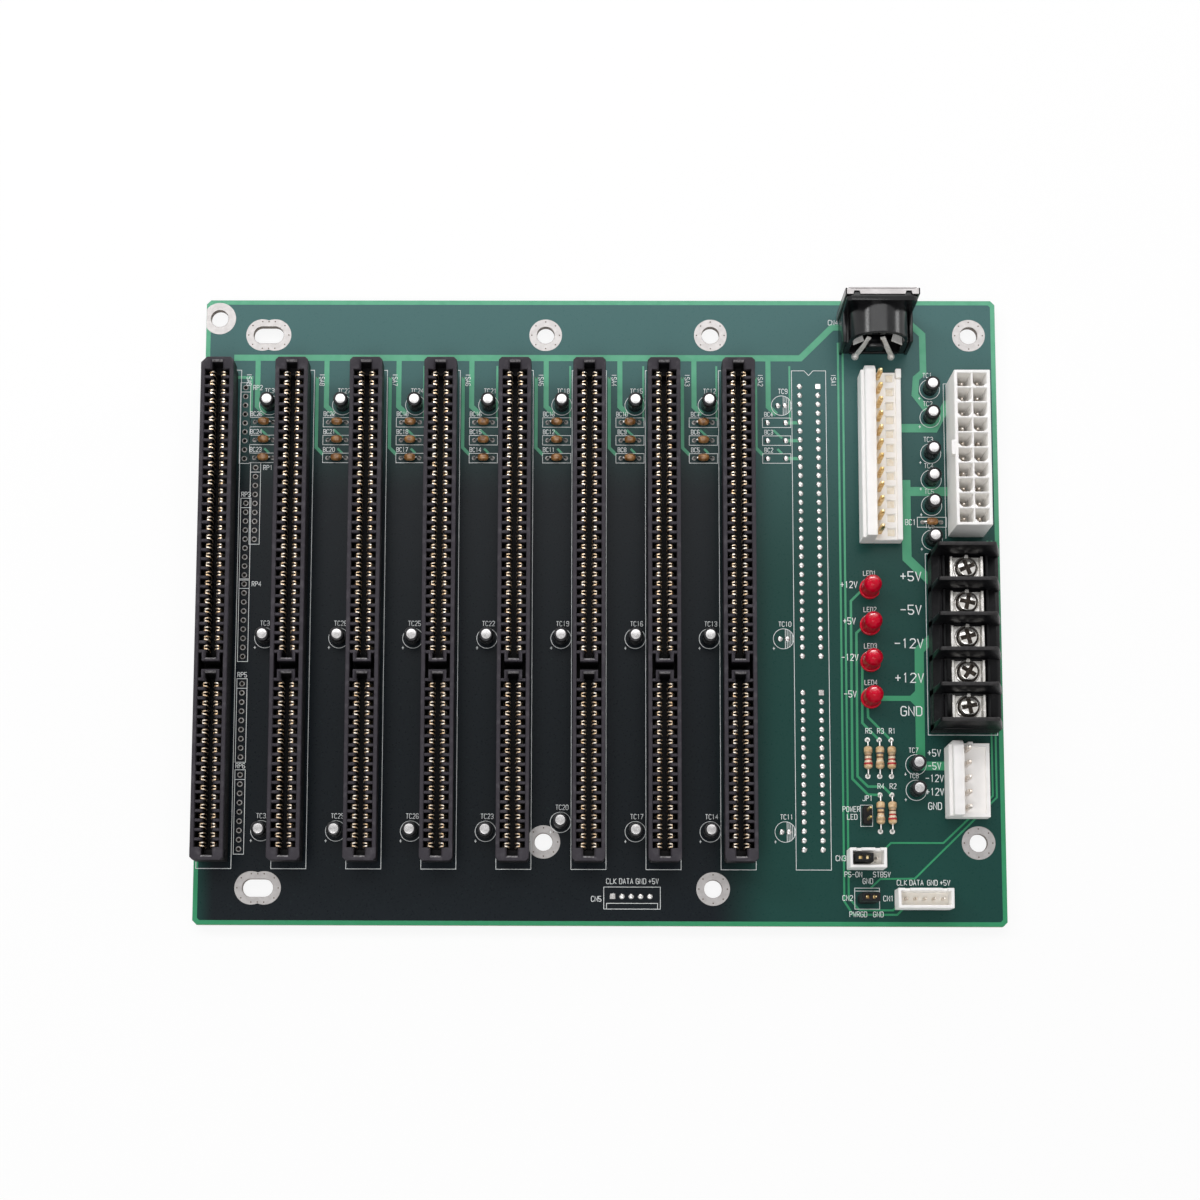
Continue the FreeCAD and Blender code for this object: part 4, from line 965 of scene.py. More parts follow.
PIN_HOLE_RADIUS = 0.75
PIN_HOLE_SIDES = 16
INSERT_SECTION = [(-2.6, 1.2), (2.6, 1.2), (2.6, 4.4), (1.6, 5.8), (-1.6, 5.8), (-2.6, 4.4)]

socket_black = new_finish("socket_black", (0.007, 0.007, 0.008), 0.24, specular=0.34)
drift(socket_black, 3.0, (0.004, 0.004, 0.005), (0.009, 0.009, 0.010))
grain(socket_black, 0.4, 0.003, (0.18, 0.26))


def swept_round(profile, steps, x=SOCKET_X, z=SOCKET_AXIS, start=0.0, end=2 * math.pi):
    """(radius, y) profile swept about a line along y through (x, z), from one angle to another."""
    whole = end - start > 2 * math.pi - 0.01
    loops = []
    for i in range(steps if whole else steps + 1):
        angle = start + (end - start) * i / steps
        loops.append([(x + r * math.cos(angle), y, z + r * math.sin(angle)) for r, y in profile])
    return loft(loops, ring=whole)


def holed_plate(half_width, low, high, start, end):
    """A square plate across the socket, with a round hole in it for the plug."""
    outer, inner = [], []
    for i in range(PLATE_STEPS):
        angle = 2 * math.pi * (i + 0.5) / PLATE_STEPS
        cos, sin = math.cos(angle), math.sin(angle)
        rise = high - SOCKET_AXIS if sin > 0 else SOCKET_AXIS - low
        reach = min(half_width / max(abs(cos), 1e-6), rise / max(abs(sin), 1e-6))
        outer.append(on_circle(reach, angle, SOCKET_X, SOCKET_AXIS))
        inner.append(on_circle(PLUG_RADIUS, angle, SOCKET_X, SOCKET_AXIS))
    edges = ((outer, start), (outer, end), (inner, end), (inner, start))
    return loft([[(x, y, z) for x, z in edge] for edge, y in edges], ring=True)


barrel_front = BARREL_END + BARREL_LAP
liner_out = BARREL_RADIUS - LINER_EASE
liner = [(PLUG_RADIUS, RECESS_END + LINER_EASE), (PLUG_RADIUS + LINER_EASE, RECESS_END),
         (liner_out - LINER_EASE, RECESS_END), (liner_out, RECESS_END + LINER_EASE),
         (liner_out, barrel_front), (PLUG_RADIUS, barrel_front)]
arch_back, arch_front, arch_seat = SOCKET_BACK + ARCH_EASE, RECESS_END + ARCH_EASE, BARREL_RADIUS - 0.7
arch = [(ARCH_RADIUS, arch_back), (ARCH_RADIUS + ARCH_EASE, SOCKET_BACK),
        (BARREL_RADIUS - ARCH_EASE, SOCKET_BACK), (BARREL_RADIUS, arch_back), (BARREL_RADIUS, barrel_front),
        (arch_seat, barrel_front), (arch_seat, arch_front), (ARCH_RADIUS, arch_front)]
core_foot, core_step, core_face = PLUG_RADIUS + 0.3, RECESS_END + 1.1, SOCKET_FACE - 0.05
core = [(CORE_MIDDLE, RECESS_END), (core_foot, RECESS_END), (core_foot, core_step), (CORE_RADIUS, core_step),
        (CORE_RADIUS, SOCKET_FACE - 0.35), (CORE_RADIUS - 0.3, core_face), (CORE_MIDDLE, core_face)]
socket_shapes = [
    swept_round(liner, BARREL_STEPS),
    swept_round(arch, BARREL_STEPS // 2, start=-ARCH_DIP, end=math.pi + ARCH_DIP),
    swept_round(core, BARREL_STEPS),
    eased(holed_plate(SOCKET_HALF, BOARD_TOP, socket_high.z, BARREL_END, SOCKET_FACE), 0.2),
]
for side in (-1, 1):
    cheek_outer = SOCKET_X + side * SOCKET_HALF
    cheek_inner = cheek_outer - side * CHEEK_THICK
    cheek = brick(cheek_outer, cheek_inner, SOCKET_BACK, barrel_front, BOARD_TOP, SHELF_TOP)
    ledge = brick(cheek_inner, SOCKET_X + side * ARCH_RADIUS, arch_back, barrel_front, BOARD_TOP,
                  SHELF_TOP - 1.6)
    socket_shapes += [eased(cheek, 0.25, 2), eased(ledge, 0.2)]
insert = along_y([(SOCKET_X + x, BOARD_TOP + rise) for x, rise in INSERT_SECTION], SOCKET_BACK + 0.4,
                 RECESS_END + BARREL_LAP)
left, right = SOCKET_X - ARCH_RADIUS, SOCKET_X + ARCH_RADIUS
# A black plate on the board under the arch: partly the moulding's floor, partly painted shade where the
# socket's shadow falls.
recess_shade_plate = brick(left, right, SOCKET_BACK + 0.1, RECESS_END + BARREL_LAP, BOARD_TOP, BOARD_TOP + 1.3)
socket_shapes.append(eased(insert, 0.25))
socket_shapes.append(brick(left, right, RECESS_END, BARREL_END, BOARD_TOP, SOCKET_AXIS - 3.0))
socket_shapes.append(eased(recess_shade_plate, 0.2))
# The plug's pin holes are dark discs on the core's face: painted shade.
hole_back, hole_front = SOCKET_FACE - 0.2, SOCKET_FACE - 0.02
pin_hole = [(CORE_MIDDLE, hole_back), (PIN_HOLE_RADIUS, hole_back), (PIN_HOLE_RADIUS, hole_front),
            (CORE_MIDDLE, hole_front)]
pin_holes = []
for i in range(5):
    place = on_circle(PIN_CIRCLE, math.radians(180 + 45 * i), SOCKET_X, SOCKET_AXIS)
    pin_holes.append(swept_round(pin_hole, PIN_HOLE_SIDES, *place))
seat("keyboard_socket_moulding", [(socket_black, socket_shapes), (hole_shade, pin_holes)],
     ["keyboard_socket_body"])

# Keyboard socket's shield and lugs
# The shield is tinned sheet steel folded over the flange, with two notches in its top fold. The lugs are
# tinned strips that leave the back of the core, splay out and go down into the board.
SHIELD_THICK = 0.4
SHIELD_WRAP = 1.9
SHIELD_FOOT = BOARD_TOP + 0.02
NOTCH_SPREAD = 7.0
NOTCH_HALF = 0.95
NOTCH_FLOOR_HALF = NOTCH_HALF * 0.7
NOTCH_DEPTH = 0.95
LUG_WIDTH = 1.5
LUG_THICK = 0.4
LUG_FOOT = 5.0
BALL_SIDES = 18
# Points of a lug and of the tab above it: out from the socket's middle, in from its back, above the board.
LUG_LINE = [(1.8, 2.9, 6.4), (3.0, 1.2, 4.7), (4.6, -0.2, 1.6), (LUG_FOOT, -0.5, 0.0)]
TAB_PLAN = [(3.7, 0.7), (6.7, -0.5), (6.7, 2.2), (4.3, 2.8)]
TAB_LOW = BOARD_TOP + 8.9
TAB_HIGH = BOARD_TOP + 9.3
steel = new_finish("tinned_steel", (0.31, 0.295, 0.295), 0.36, metallic=0.8)
drift(steel, 4.0, (0.28, 0.265, 0.265), (0.33, 0.315, 0.315))
grain(steel, 0.4, 0.004, (0.30, 0.40))
lug_tin = new_finish("dipped_tin", (0.86, 0.84, 0.82), 0.34, metallic=0.2)
drift(lug_tin, 1.2, (0.78, 0.76, 0.73), (0.90, 0.89, 0.87))
grain(lug_tin, 0.4, 0.008, (0.26, 0.40))

fold_front = shield_high.y - SHIELD_WRAP
fold_rear = shield_high.y - SHIELD_THICK / 2
notch_floor = fold_front + NOTCH_DEPTH
fold = [(shield_low.x, fold_rear), (shield_low.x, fold_front)]
for notch_x in (SOCKET_X - NOTCH_SPREAD, SOCKET_X + NOTCH_SPREAD):
    fold += [(notch_x - NOTCH_HALF, fold_front), (notch_x - NOTCH_FLOOR_HALF, notch_floor),
             (notch_x + NOTCH_FLOOR_HALF, notch_floor), (notch_x + NOTCH_HALF, fold_front)]
fold += [(shield_high.x, fold_front), (shield_high.x, fold_rear)]
shield_half, shield_front = shield_high.x - SOCKET_X, shield_high.y - SHIELD_THICK
shield_shapes = [
    holed_plate(shield_half, SHIELD_FOOT, shield_high.z, shield_front, shield_high.y),
    eased(upright_prism(fold, shield_high.z - SHIELD_THICK, shield_high.z), 0.06),
]
for edge, inward in ((shield_low.x, SHIELD_THICK), (shield_high.x, -SHIELD_THICK)):
    folded_side = brick(edge, edge + inward, fold_front, fold_rear, SHIELD_FOOT, shield_high.z)
    shield_shapes.append(eased(folded_side, 0.06))
seat("keyboard_socket_shell", [(steel, shield_shapes)], ["keyboard_socket_shield"])


def flat_lug(path, width, thick):
    """A strip of sheet along a path, its width turned square to the run and level."""
    loops = []
    for i, point in enumerate(path):
        run = (Vector(path[min(i + 1, len(path) - 1)]) - Vector(path[max(i - 1, 0)])).normalized()
        side = run.cross(Vector((0.0, 1.0, 0.0))).normalized() * width / 2
        face = run.cross(side).normalized() * thick / 2
        centre = Vector(point)
        loops.append([tuple(centre + a) for a in (-side - face, side - face, side + face, -side + face)])
    return loft(loops)


lug_shapes = []
solder_ball = turned([(1.0, 0.0), (1.05, 0.35), (0.9, 0.85), (0.55, 1.25), (0.15, 1.42)],
                     BALL_SIDES)
for side in (-1, 1):
    lug = [(SOCKET_X + side * out, SOCKET_BACK + inward, BOARD_TOP + rise) for out, inward, rise in LUG_LINE]
    tab = [(SOCKET_X + side * out, SOCKET_BACK + inward) for out, inward in TAB_PLAN]
    lug_shapes.append(eased(flat_lug(lug, LUG_WIDTH, LUG_THICK), 0.08))
    lug_shapes.append(moved(solder_ball, SOCKET_X + side * LUG_FOOT, SOCKET_BACK - 0.55, BOARD_TOP))
    lug_shapes.append(eased(upright_prism(tab, TAB_LOW, TAB_HIGH), 0.08))
seat("keyboard_socket_pins", [(lug_tin, lug_shapes)], ["keyboard_socket_lugs"])

# Twelve-pin and five-pin supply headers
# White nylon mouldings: a thick base with a tall polarising wall along one side, its rear end bevelled.
# The long one has a row of square windows for the plugs' ribs. Square tinned or gold pins stand in line.
SUPPLY_PITCH = 3.96
MAIN_PINS = 12
AUX_PINS = 5
SUPPLY_WALL = 3.8
SUPPLY_FLOOR = BOARD_TOP + 3.5
SUPPLY_BEVEL = 1.6
SUPPLY_END = 0.3
SUPPLY_LAP = 0.1
SUPPLY_RIM = 1.0
SUPPLY_PIN_STEP = 5.0
SUPPLY_PIN_HALF = 0.55
WINDOW_STEP = 8.3
WINDOW_HALF = 1.15
WINDOW_FLOOR = SUPPLY_FLOOR - 0.8
WINDOW_FLOOR_HALF = 0.95

nylon = new_finish("white_nylon", (0.90, 0.88, 0.87), 0.42)
# Upright faces and the recess floors are painted lighter and creamier than the tops: painted light in the
# deep cells and recesses.
on_top = between(nylon, facing_parts(nylon)["Z"], 0.2, 0.8)
blotches = between(nylon, cloud(nylon, 5.0), *DRIFT_RANGE)
top_white = shade_between(nylon, blotches, (0.89, 0.87, 0.86), (0.92, 0.90, 0.89))
paint(nylon, shade_between(nylon, on_top, (0.980, 0.952, 0.905), top_white))
grain(nylon, 0.5, 0.008, (0.36, 0.5))
nylon_recess_lit = new_finish("nylon_recess", (0.97, 0.94, 0.88), 0.55)
drift(nylon_recess_lit, 1.2, (0.95, 0.91, 0.84), (0.98, 0.95, 0.90))
grain(nylon_recess_lit, 0.4, 0.01, (0.5, 0.65))
for finish in (nylon, nylon_recess_lit):
    shader_socket(finish, "Sheen Weight").default_value = 0.8
    shader_socket(finish, "Sheen Roughness").default_value = 0.6
# The window floors are painted a darker beige: painted shade in the windows.
window_shade_nylon = new_finish("window_shade_nylon", (0.80, 0.73, 0.62), 0.55)
drift(window_shade_nylon, 1.2, (0.76, 0.68, 0.56), (0.83, 0.77, 0.67))
grain(window_shade_nylon, 0.4, 0.01, (0.5, 0.65))


def stepped_block(x_cuts, y_cuts, height_at, low):
    """A block on a grid whose top has its own height in each cell: wells, windows and rims in one skin."""
    points, faces, known = [], [], {}

    def corner(x, y, z):
        key = (round(x, 4), round(y, 4), round(z, 4))
        if key not in known:
            known[key] = len(points)
            points.append((x, y, z))
        return known[key]

    def wall(start, end, first, second):
        if abs(first - second) > 1e-6:
            edges = ((start, first), (end, first), (end, second), (start, second))
            faces.append(tuple(corner(*spot, z) for spot, z in edges))

    x_middles = [(a + b) / 2 for a, b in zip(x_cuts, x_cuts[1:])]
    y_middles = [(a + b) / 2 for a, b in zip(y_cuts, y_cuts[1:])]
    columns, rows = len(x_middles), len(y_middles)
    tops = [[height_at(x, y) for y in y_middles] for x in x_middles]
    for i in range(columns):
        for j in range(rows):
            spots = rectangle(x_cuts[i], x_cuts[i + 1], y_cuts[j], y_cuts[j + 1])
            top = tops[i][j]
            faces.append(tuple(corner(*spot, top) for spot in spots))
            faces.append(tuple(corner(*spot, low) for spot in reversed(spots)))
            next_x = tops[i + 1][j] if i + 1 < columns else low
            next_y = tops[i][j + 1] if j + 1 < rows else low
            wall(spots[1], spots[2], top, next_x)
            wall(spots[3], spots[2], top, next_y)
            if i == 0:
                wall(spots[0], spots[3], top, low)
            if j == 0:
                wall(spots[0], spots[1], top, low)
    return points, faces


def square_pin(half, low, high, taper=0.9):
    """A square pin with a tapered tip."""
    tip = half * 0.5
    rings = [(half, low), (half, high - taper), (tip, high)]
    return loft([[(-r, -r, z), (r, -r, z), (r, r, z), (-r, r, z)] for r, z in rings])


def windowed_base(low, high, pin_rows):
    """The long header's base: a row of square windows beside the pins and a lip along the right edge."""
    middle = low.x + WINDOW_STEP
    x_cuts = [low.x + SUPPLY_WALL - SUPPLY_LAP, middle - WINDOW_HALF, middle + WINDOW_HALF, high.x]
    y_cuts = [low.y]
    for y in reversed(pin_rows):
        y_cuts += [y - WINDOW_HALF, y + WINDOW_HALF]
    y_cuts.append(high.y - 0.7)

    def base_top(x, y):
        in_column = abs(x - middle) < WINDOW_HALF
        in_row = any(abs(y - row) < WINDOW_HALF for row in pin_rows)
        return WINDOW_FLOOR if in_column and in_row else SUPPLY_FLOOR
    base = stepped_block(x_cuts, y_cuts, base_top, BOARD_TOP)
    lip_left, lip_low = high.x - 1.5, SUPPLY_FLOOR - 0.2
    lip = brick(lip_left, high.x, low.y + 0.05, high.y - 1.2, lip_low, SUPPLY_FLOOR + 0.5)
    lip_end = brick(lip_left, high.x, high.y - 2.6, high.y, lip_low, SUPPLY_FLOOR + 1.3)
    half = WINDOW_FLOOR_HALF
    floors = [brick_about(middle, y, half, half, WINDOW_FLOOR, WINDOW_FLOOR + 0.05) for y in pin_rows]
    return [eased(base, 0.14), eased(lip, 0.12), eased(lip_end, 0.12)], [(window_shade_nylon, floors)]


def rimmed_base(low, high, _):
    """The short header's base: a floor sunk inside a rim, and a key on the rear rim."""
    wall_right = low.x + SUPPLY_WALL
    left, right = wall_right + 0.6, high.x - SUPPLY_RIM
    front, rear = low.y + SUPPLY_RIM, high.y - SUPPLY_RIM - 0.4

    def base_top(x, y):
        return SUPPLY_FLOOR if left < x < right and front < y < rear else SUPPLY_FLOOR + 1.1
    x_cuts = [wall_right - SUPPLY_LAP, left, right, high.x]
    base = stepped_block(x_cuts, [low.y, front, rear, high.y - 0.4], base_top, BOARD_TOP)
    key = brick_about(wall_right + 2.4, high.y - 0.5, 0.7, 0.5, SUPPLY_FLOOR, SUPPLY_FLOOR + 1.6)
    return [eased(base, 0.14), eased(key, 0.12)], []


def supply_header(name, node, pins_name, pins_node, count, base_of, pin_finish):
    """A header with its polarising wall, a base of either kind and its row of pins."""
    low, high = box_mm(node)
    _, pin_high = box_mm(pins_node)
    pin_rows = [high.y - SUPPLY_END - SUPPLY_PITCH * (i + 0.5) for i in range(count)]
    wall = [(low.y, BOARD_TOP), (low.y, high.z), (high.y - SUPPLY_BEVEL, high.z),
            (high.y, high.z - SUPPLY_BEVEL), (high.y, BOARD_TOP)]
    ledge = brick(low.x, low.x + 1.2, low.y, high.y - 0.9, BOARD_TOP, high.z - 2.4)
    walls = [eased(along_x(wall, low.x + 0.9, low.x + SUPPLY_WALL), 0.18), eased(ledge, 0.15)]
    base, floors = base_of(low, high, pin_rows)
    seat(name, [(nylon, walls + base)] + floors, [node])
    pin = eased(square_pin(SUPPLY_PIN_HALF, SUPPLY_FLOOR - 0.3, pin_high.z), 0.06)
    pins = [moved(pin, low.x + SUPPLY_PIN_STEP, y) for y in pin_rows]
    seat(pins_name, [(pin_finish, pins)], [pins_node])


pin_gold = new_finish("pin_gold", (0.88, 0.62, 0.26), 0.28, metallic=1.0)
drift(pin_gold, 1.5, (0.72, 0.46, 0.16), (0.95, 0.76, 0.42))
grain(pin_gold, 0.3, 0.01, (0.2, 0.4))
pin_tin = new_finish("pin_tin", (0.80, 0.74, 0.68), 0.3, metallic=1.0)
drift(pin_tin, 1.5, (0.66, 0.58, 0.50), (0.86, 0.82, 0.78))
grain(pin_tin, 0.3, 0.01, (0.22, 0.4))
supply_header("supply_header_main", "at_power_header", "supply_pins_main", "at_power_pins", MAIN_PINS,
              windowed_base, pin_gold)
supply_header("supply_header_aux", "aux_power_header", "supply_pins_aux", "aux_power_pins", AUX_PINS,
              rimmed_base, pin_tin)

# Twenty-way supply header
# A white nylon block with two rows of ten deep cells, square or with two corners cut to key the plug,
# a latch nib half way along its left wall, and a tinned pin standing in each cell.
TWIN_PITCH = 4.2
TWIN_ROWS = 10
TWIN_WIDTH = 9.8
TWIN_CELL_HALF = 1.88
TWIN_CELL_EASE = 0.16
TWIN_CELL_CORNER = 1.0
TWIN_FLOOR = BOARD_TOP + 3.4
TWIN_PIN_HALF = 0.5
LATCH_HALF = 2.0
LATCH_HEIGHT = 2.5
twin_low, twin_high = box_mm("atx_power_header")
_, twin_pin_high = box_mm("atx_power_pins")
twin_left = twin_high.x - TWIN_WIDTH
twin_x = (twin_left + twin_high.x) / 2
twin_y = (twin_low.y + twin_high.y) / 2
cell_x = [twin_x - TWIN_PITCH / 2, twin_x + TWIN_PITCH / 2]
cell_y = [twin_y + TWIN_PITCH * (i - (TWIN_ROWS - 1) / 2) for i in range(TWIN_ROWS)]
x_cuts = [twin_left] + [x + s * TWIN_CELL_HALF for x in cell_x for s in (-1, 1)] + [twin_high.x]
y_cuts = [twin_low.y] + [y + s * TWIN_CELL_HALF for y in cell_y for s in (-1, 1)] + [twin_high.y]


def twin_top(x, y):
    in_column = any(abs(x - cx) < TWIN_CELL_HALF for cx in cell_x)
    in_row = any(abs(y - cy) < TWIN_CELL_HALF for cy in cell_y)
    return TWIN_FLOOR if in_column and in_row else twin_high.z


twin_shapes = [eased(stepped_block(x_cuts, y_cuts, twin_top, BOARD_TOP), TWIN_CELL_EASE)]
latch = [(twin_left + 0.1, twin_high.z), (twin_low.x, twin_high.z), (twin_low.x, twin_high.z - 1.2),
         (twin_left + 0.1, twin_high.z - LATCH_HEIGHT)]
twin_shapes.append(eased(along_y(latch, twin_y - LATCH_HALF, twin_y + LATCH_HALF), 0.1))
twin_pin = eased(square_pin(TWIN_PIN_HALF, TWIN_FLOOR - 0.3, twin_pin_high.z), 0.06)
twin_floors, twin_pins = [], []
for column, x in enumerate(cell_x):
    for row, y in enumerate(cell_y):
        reach = TWIN_CELL_HALF - TWIN_CELL_EASE
        twin_floors.append(brick_about(x, y, reach, reach, TWIN_FLOOR, TWIN_FLOOR + 0.06))
        twin_pins.append(moved(twin_pin, x, y))
        if (row + column) % 3 == 0:
            continue
        front = y - TWIN_CELL_HALF
        for side in (-1, 1):
            edge = x + side * TWIN_CELL_HALF
            fill = [(edge + side * 0.05, front - 0.05), (edge - side * TWIN_CELL_CORNER, front - 0.05),
                    (edge + side * 0.05, front + TWIN_CELL_CORNER)]
            twin_shapes.append(upright_prism(fill, TWIN_FLOOR, twin_high.z - 0.25))
seat("twin_row_header", [(nylon, twin_shapes), (nylon_recess_lit, twin_floors)],
     ["atx_power_header"])
seat("twin_row_pins", [(pin_tin, twin_pins)], ["atx_power_pins"])

# Screw terminal block
# A black thermoset base with six tall barriers between the wire bays. It is ribbed below the barriers,
# rough from the mould, dusty in patches and painted paler along the top edges of its walls.
TERMINAL_PITCH = 9.5
TERMINAL_BAYS = 5
TERMINAL_BASE = BOARD_TOP + 7.0
BARRIER_THICK = 2.2
BARRIER_RAKE = 2.6
BARRIER_DRAFT = 0.55
BAY_WALL = 0.7
BAY_HALF = 3.7
terminal_low, terminal_high = box_mm("terminal_block_body")
clamp_low, clamp_high = box_mm("terminal_clamp_plates")
block_black = new_finish("terminal_black", (0.006, 0.006, 0.007), 0.36, specular=0.12)
dust = between(block_black, cloud(block_black, 1.4, 6.0), 0.56, 0.78, 0.0, 0.6)
dusty_black = shade_between(block_black, dust, (0.005, 0.005, 0.006), (0.028, 0.027, 0.028))
_, _, upward = place_parts(block_black)
# The top half millimetre of the walls is painted a paler grey.
top_band = between(block_black, upward, (terminal_high.z - 0.5) * MM, (terminal_high.z - 0.1) * MM)
top_band_grey = shade_between(block_black, cloud(block_black, 0.8), (0.012, 0.011, 0.012), (0.058, 0.056, 0.057))
paint(block_black, shade_between(block_black, top_band, dusty_black, top_band_grey))
grain(block_black, 0.35, 0.012, (0.28, 0.46))


def drafted(shape, low, high, middle, thinner):
    """Thin a wall evenly towards its top, as moulded walls are to leave the tool."""
    points, faces = shape
    thinned = []
    for x, y, z in points:
        rise = min(1.0, max(0.0, (z - low) / (high - low)))
        thinned.append((x, middle + (y - middle) * (1.0 - thinner * rise), z))
    return thinned, faces


left, right, top = terminal_low.x, terminal_high.x, terminal_high.z
base_section = [(left, BOARD_TOP), (right, BOARD_TOP), (right, TERMINAL_BASE - 1.0),
                (right - 1.2, TERMINAL_BASE), (left + 2.6, TERMINAL_BASE), (left + 2.0, TERMINAL_BASE - 0.8),
                (left, TERMINAL_BASE - 0.8)]
terminal_shapes = [eased(along_y(base_section, terminal_low.y, terminal_high.y), 0.15)]
rake_x = right - BARRIER_RAKE
barrier_section = [(left, BOARD_TOP), (right, BOARD_TOP), (right, TERMINAL_BASE), (rake_x, top - 0.5),
                   (rake_x - 0.5, top), (left + 0.7, top), (left, top - 0.7)]
barrier = drafted(along_y(barrier_section, -BARRIER_THICK, 0.0), TERMINAL_BASE, top, -BARRIER_THICK / 2,
                  BARRIER_DRAFT)
barrier = eased(barrier, 0.2, 2)
for i in range(TERMINAL_BAYS + 1):
    terminal_shapes.append(moved(barrier, 0.0, terminal_high.y - TERMINAL_PITCH * i))
first_bay_y = terminal_high.y - BARRIER_THICK - (TERMINAL_PITCH - BARRIER_THICK) / 2
bay_y = [first_bay_y - TERMINAL_PITCH * i for i in range(TERMINAL_BAYS)]
for y in bay_y:
    for x, rise in ((clamp_low.x - 1.6, 2.0), (clamp_high.x + 1.1, 1.4)):
        bay_wall = brick_about(x, y, BAY_WALL / 2, BAY_HALF, TERMINAL_BASE - 0.9, TERMINAL_BASE + rise)
        terminal_shapes.append(eased(bay_wall, 0.12))
seat("terminal_moulding", [(block_black, terminal_shapes)], ["terminal_block_body"])

# Terminal clamps and screws
# Nickel-plated steel: a plate bent up at both ends keeps the wire under a pan-head screw, whose head is
# crossed for either driver and sits on a sprung washer. A short tail of the plate shows at the rear wall.
CLAMP_THICK = 0.8
CLAMP_HALF = 3.2
TAIL_REACH = 3.1
TAIL_HALF = 0.5
SCREW_SIDES = 40
CROSS_HALF = 0.58
CROSS_REACH = 2.1
CROSS_TURN = (0.1, 1.4)
_, screw_high = box_mm("terminal_screws")
SCREW_X, _ = plan_middle("terminal_screws")
nickel = new_finish("nickel_plate", (0.68, 0.66, 0.63), 0.16, metallic=0.8)
drift(nickel, 2.2, (0.62, 0.60, 0.56), (0.72, 0.70, 0.68))
grain(nickel, 1.0, 0.012, (0.1, 0.24))
recess_shade = new_finish("screw_recess_shade", (0.03, 0.024, 0.02), 0.5, specular=0.1)
drift(recess_shade, 0.6, (0.012, 0.010, 0.008), (0.07, 0.055, 0.045))


def cross_outline(half, reach):
    """The outline of a cross whose arms have the given half width and reach."""
    return [(-half, -reach), (half, -reach), (half, -half), (reach, -half), (reach, half), (half, half),
            (half, reach), (-half, reach), (-half, half), (-reach, half), (-reach, -half), (-half, -half)]


clamp_base, clamp_top = clamp_low.z, clamp_high.z
seat_z = clamp_base + CLAMP_THICK
left_arm, right_arm = clamp_low.x + CLAMP_THICK, clamp_high.x - CLAMP_THICK
plate = [(clamp_low.x, clamp_base), (clamp_high.x, clamp_base), (clamp_high.x, clamp_top),
         (right_arm, clamp_top), (right_arm, seat_z), (left_arm, seat_z), (left_arm, clamp_top),
         (clamp_low.x, clamp_top)]
one_plate = eased(along_y(plate, -CLAMP_HALF, CLAMP_HALF), 0.12)
washer = turned([(3.3, seat_z), (3.35, seat_z + 0.2), (2.9, seat_z + 0.42), (1.0, seat_z + 0.42)],
                SCREW_SIDES)
head_top = screw_high.z
pan_head = turned([(2.45, seat_z + 0.35), (2.62, seat_z + 0.6), (2.6, seat_z + 0.9), (2.3, head_top - 0.25),
                   (1.7, head_top - 0.06), (0.9, head_top - 0.01), (0.3, head_top)], SCREW_SIDES)
# The ring under the head and the cross are dark solids on the surface: painted shade in the gap and the
# recess.
head_gap = turned([(2.62, seat_z + 0.38), (3.0, seat_z + 0.38), (3.0, seat_z + 0.45), (2.62, seat_z + 0.45)],
                  SCREW_SIDES)
cross = upright_prism(cross_outline(CROSS_HALF, CROSS_REACH), head_top - 0.4, head_top + 0.004)
clamp_shapes, screw_shapes, cross_shapes = [], [], []
random.seed(8)
for y in bay_y:
    turn = random.uniform(*CROSS_TURN)
    tail = brick_about(SCREW_X, y + TAIL_REACH, TAIL_HALF, TAIL_HALF, clamp_base, clamp_top - 0.1)
    clamp_shapes += [moved(one_plate, 0.0, y), eased(tail, 0.1)]
    screw_shapes += [moved(washer, SCREW_X, y), moved(pan_head, SCREW_X, y)]
    cross_shapes += [moved(head_gap, SCREW_X, y), moved(cross, SCREW_X, y, 0.0, turn)]
seat("terminal_clamps", [(nickel, clamp_shapes)], ["terminal_clamp_plates"])
seat("terminal_screw_heads", [(nickel, screw_shapes), (recess_shade, cross_shapes)],
     ["terminal_screws"])

# Shrouded signal headers
# Small open boxes of white nylon with two notches in the rear wall, and a row of square pins for a
# keyboard lead and for the supply's switch line.
SHROUD_PITCH = 2.5
KEYBOARD_PINS = 5
SWITCH_PINS = 3
SHROUD_WALL = 0.8
SHROUD_EASE = 0.12
SHROUD_FLOOR = BOARD_TOP + 2.2
SHROUD_END = 2.45
SHROUD_NOTCH_HALF = 0.7
SHROUD_NOTCH_DEPTH = 1.4
SMALL_PIN_HALF = 0.32
SMALL_PIN_TAPER = 0.5


def small_pin(low, high):
    return eased(square_pin(SMALL_PIN_HALF, low, high, SMALL_PIN_TAPER), 0.04)


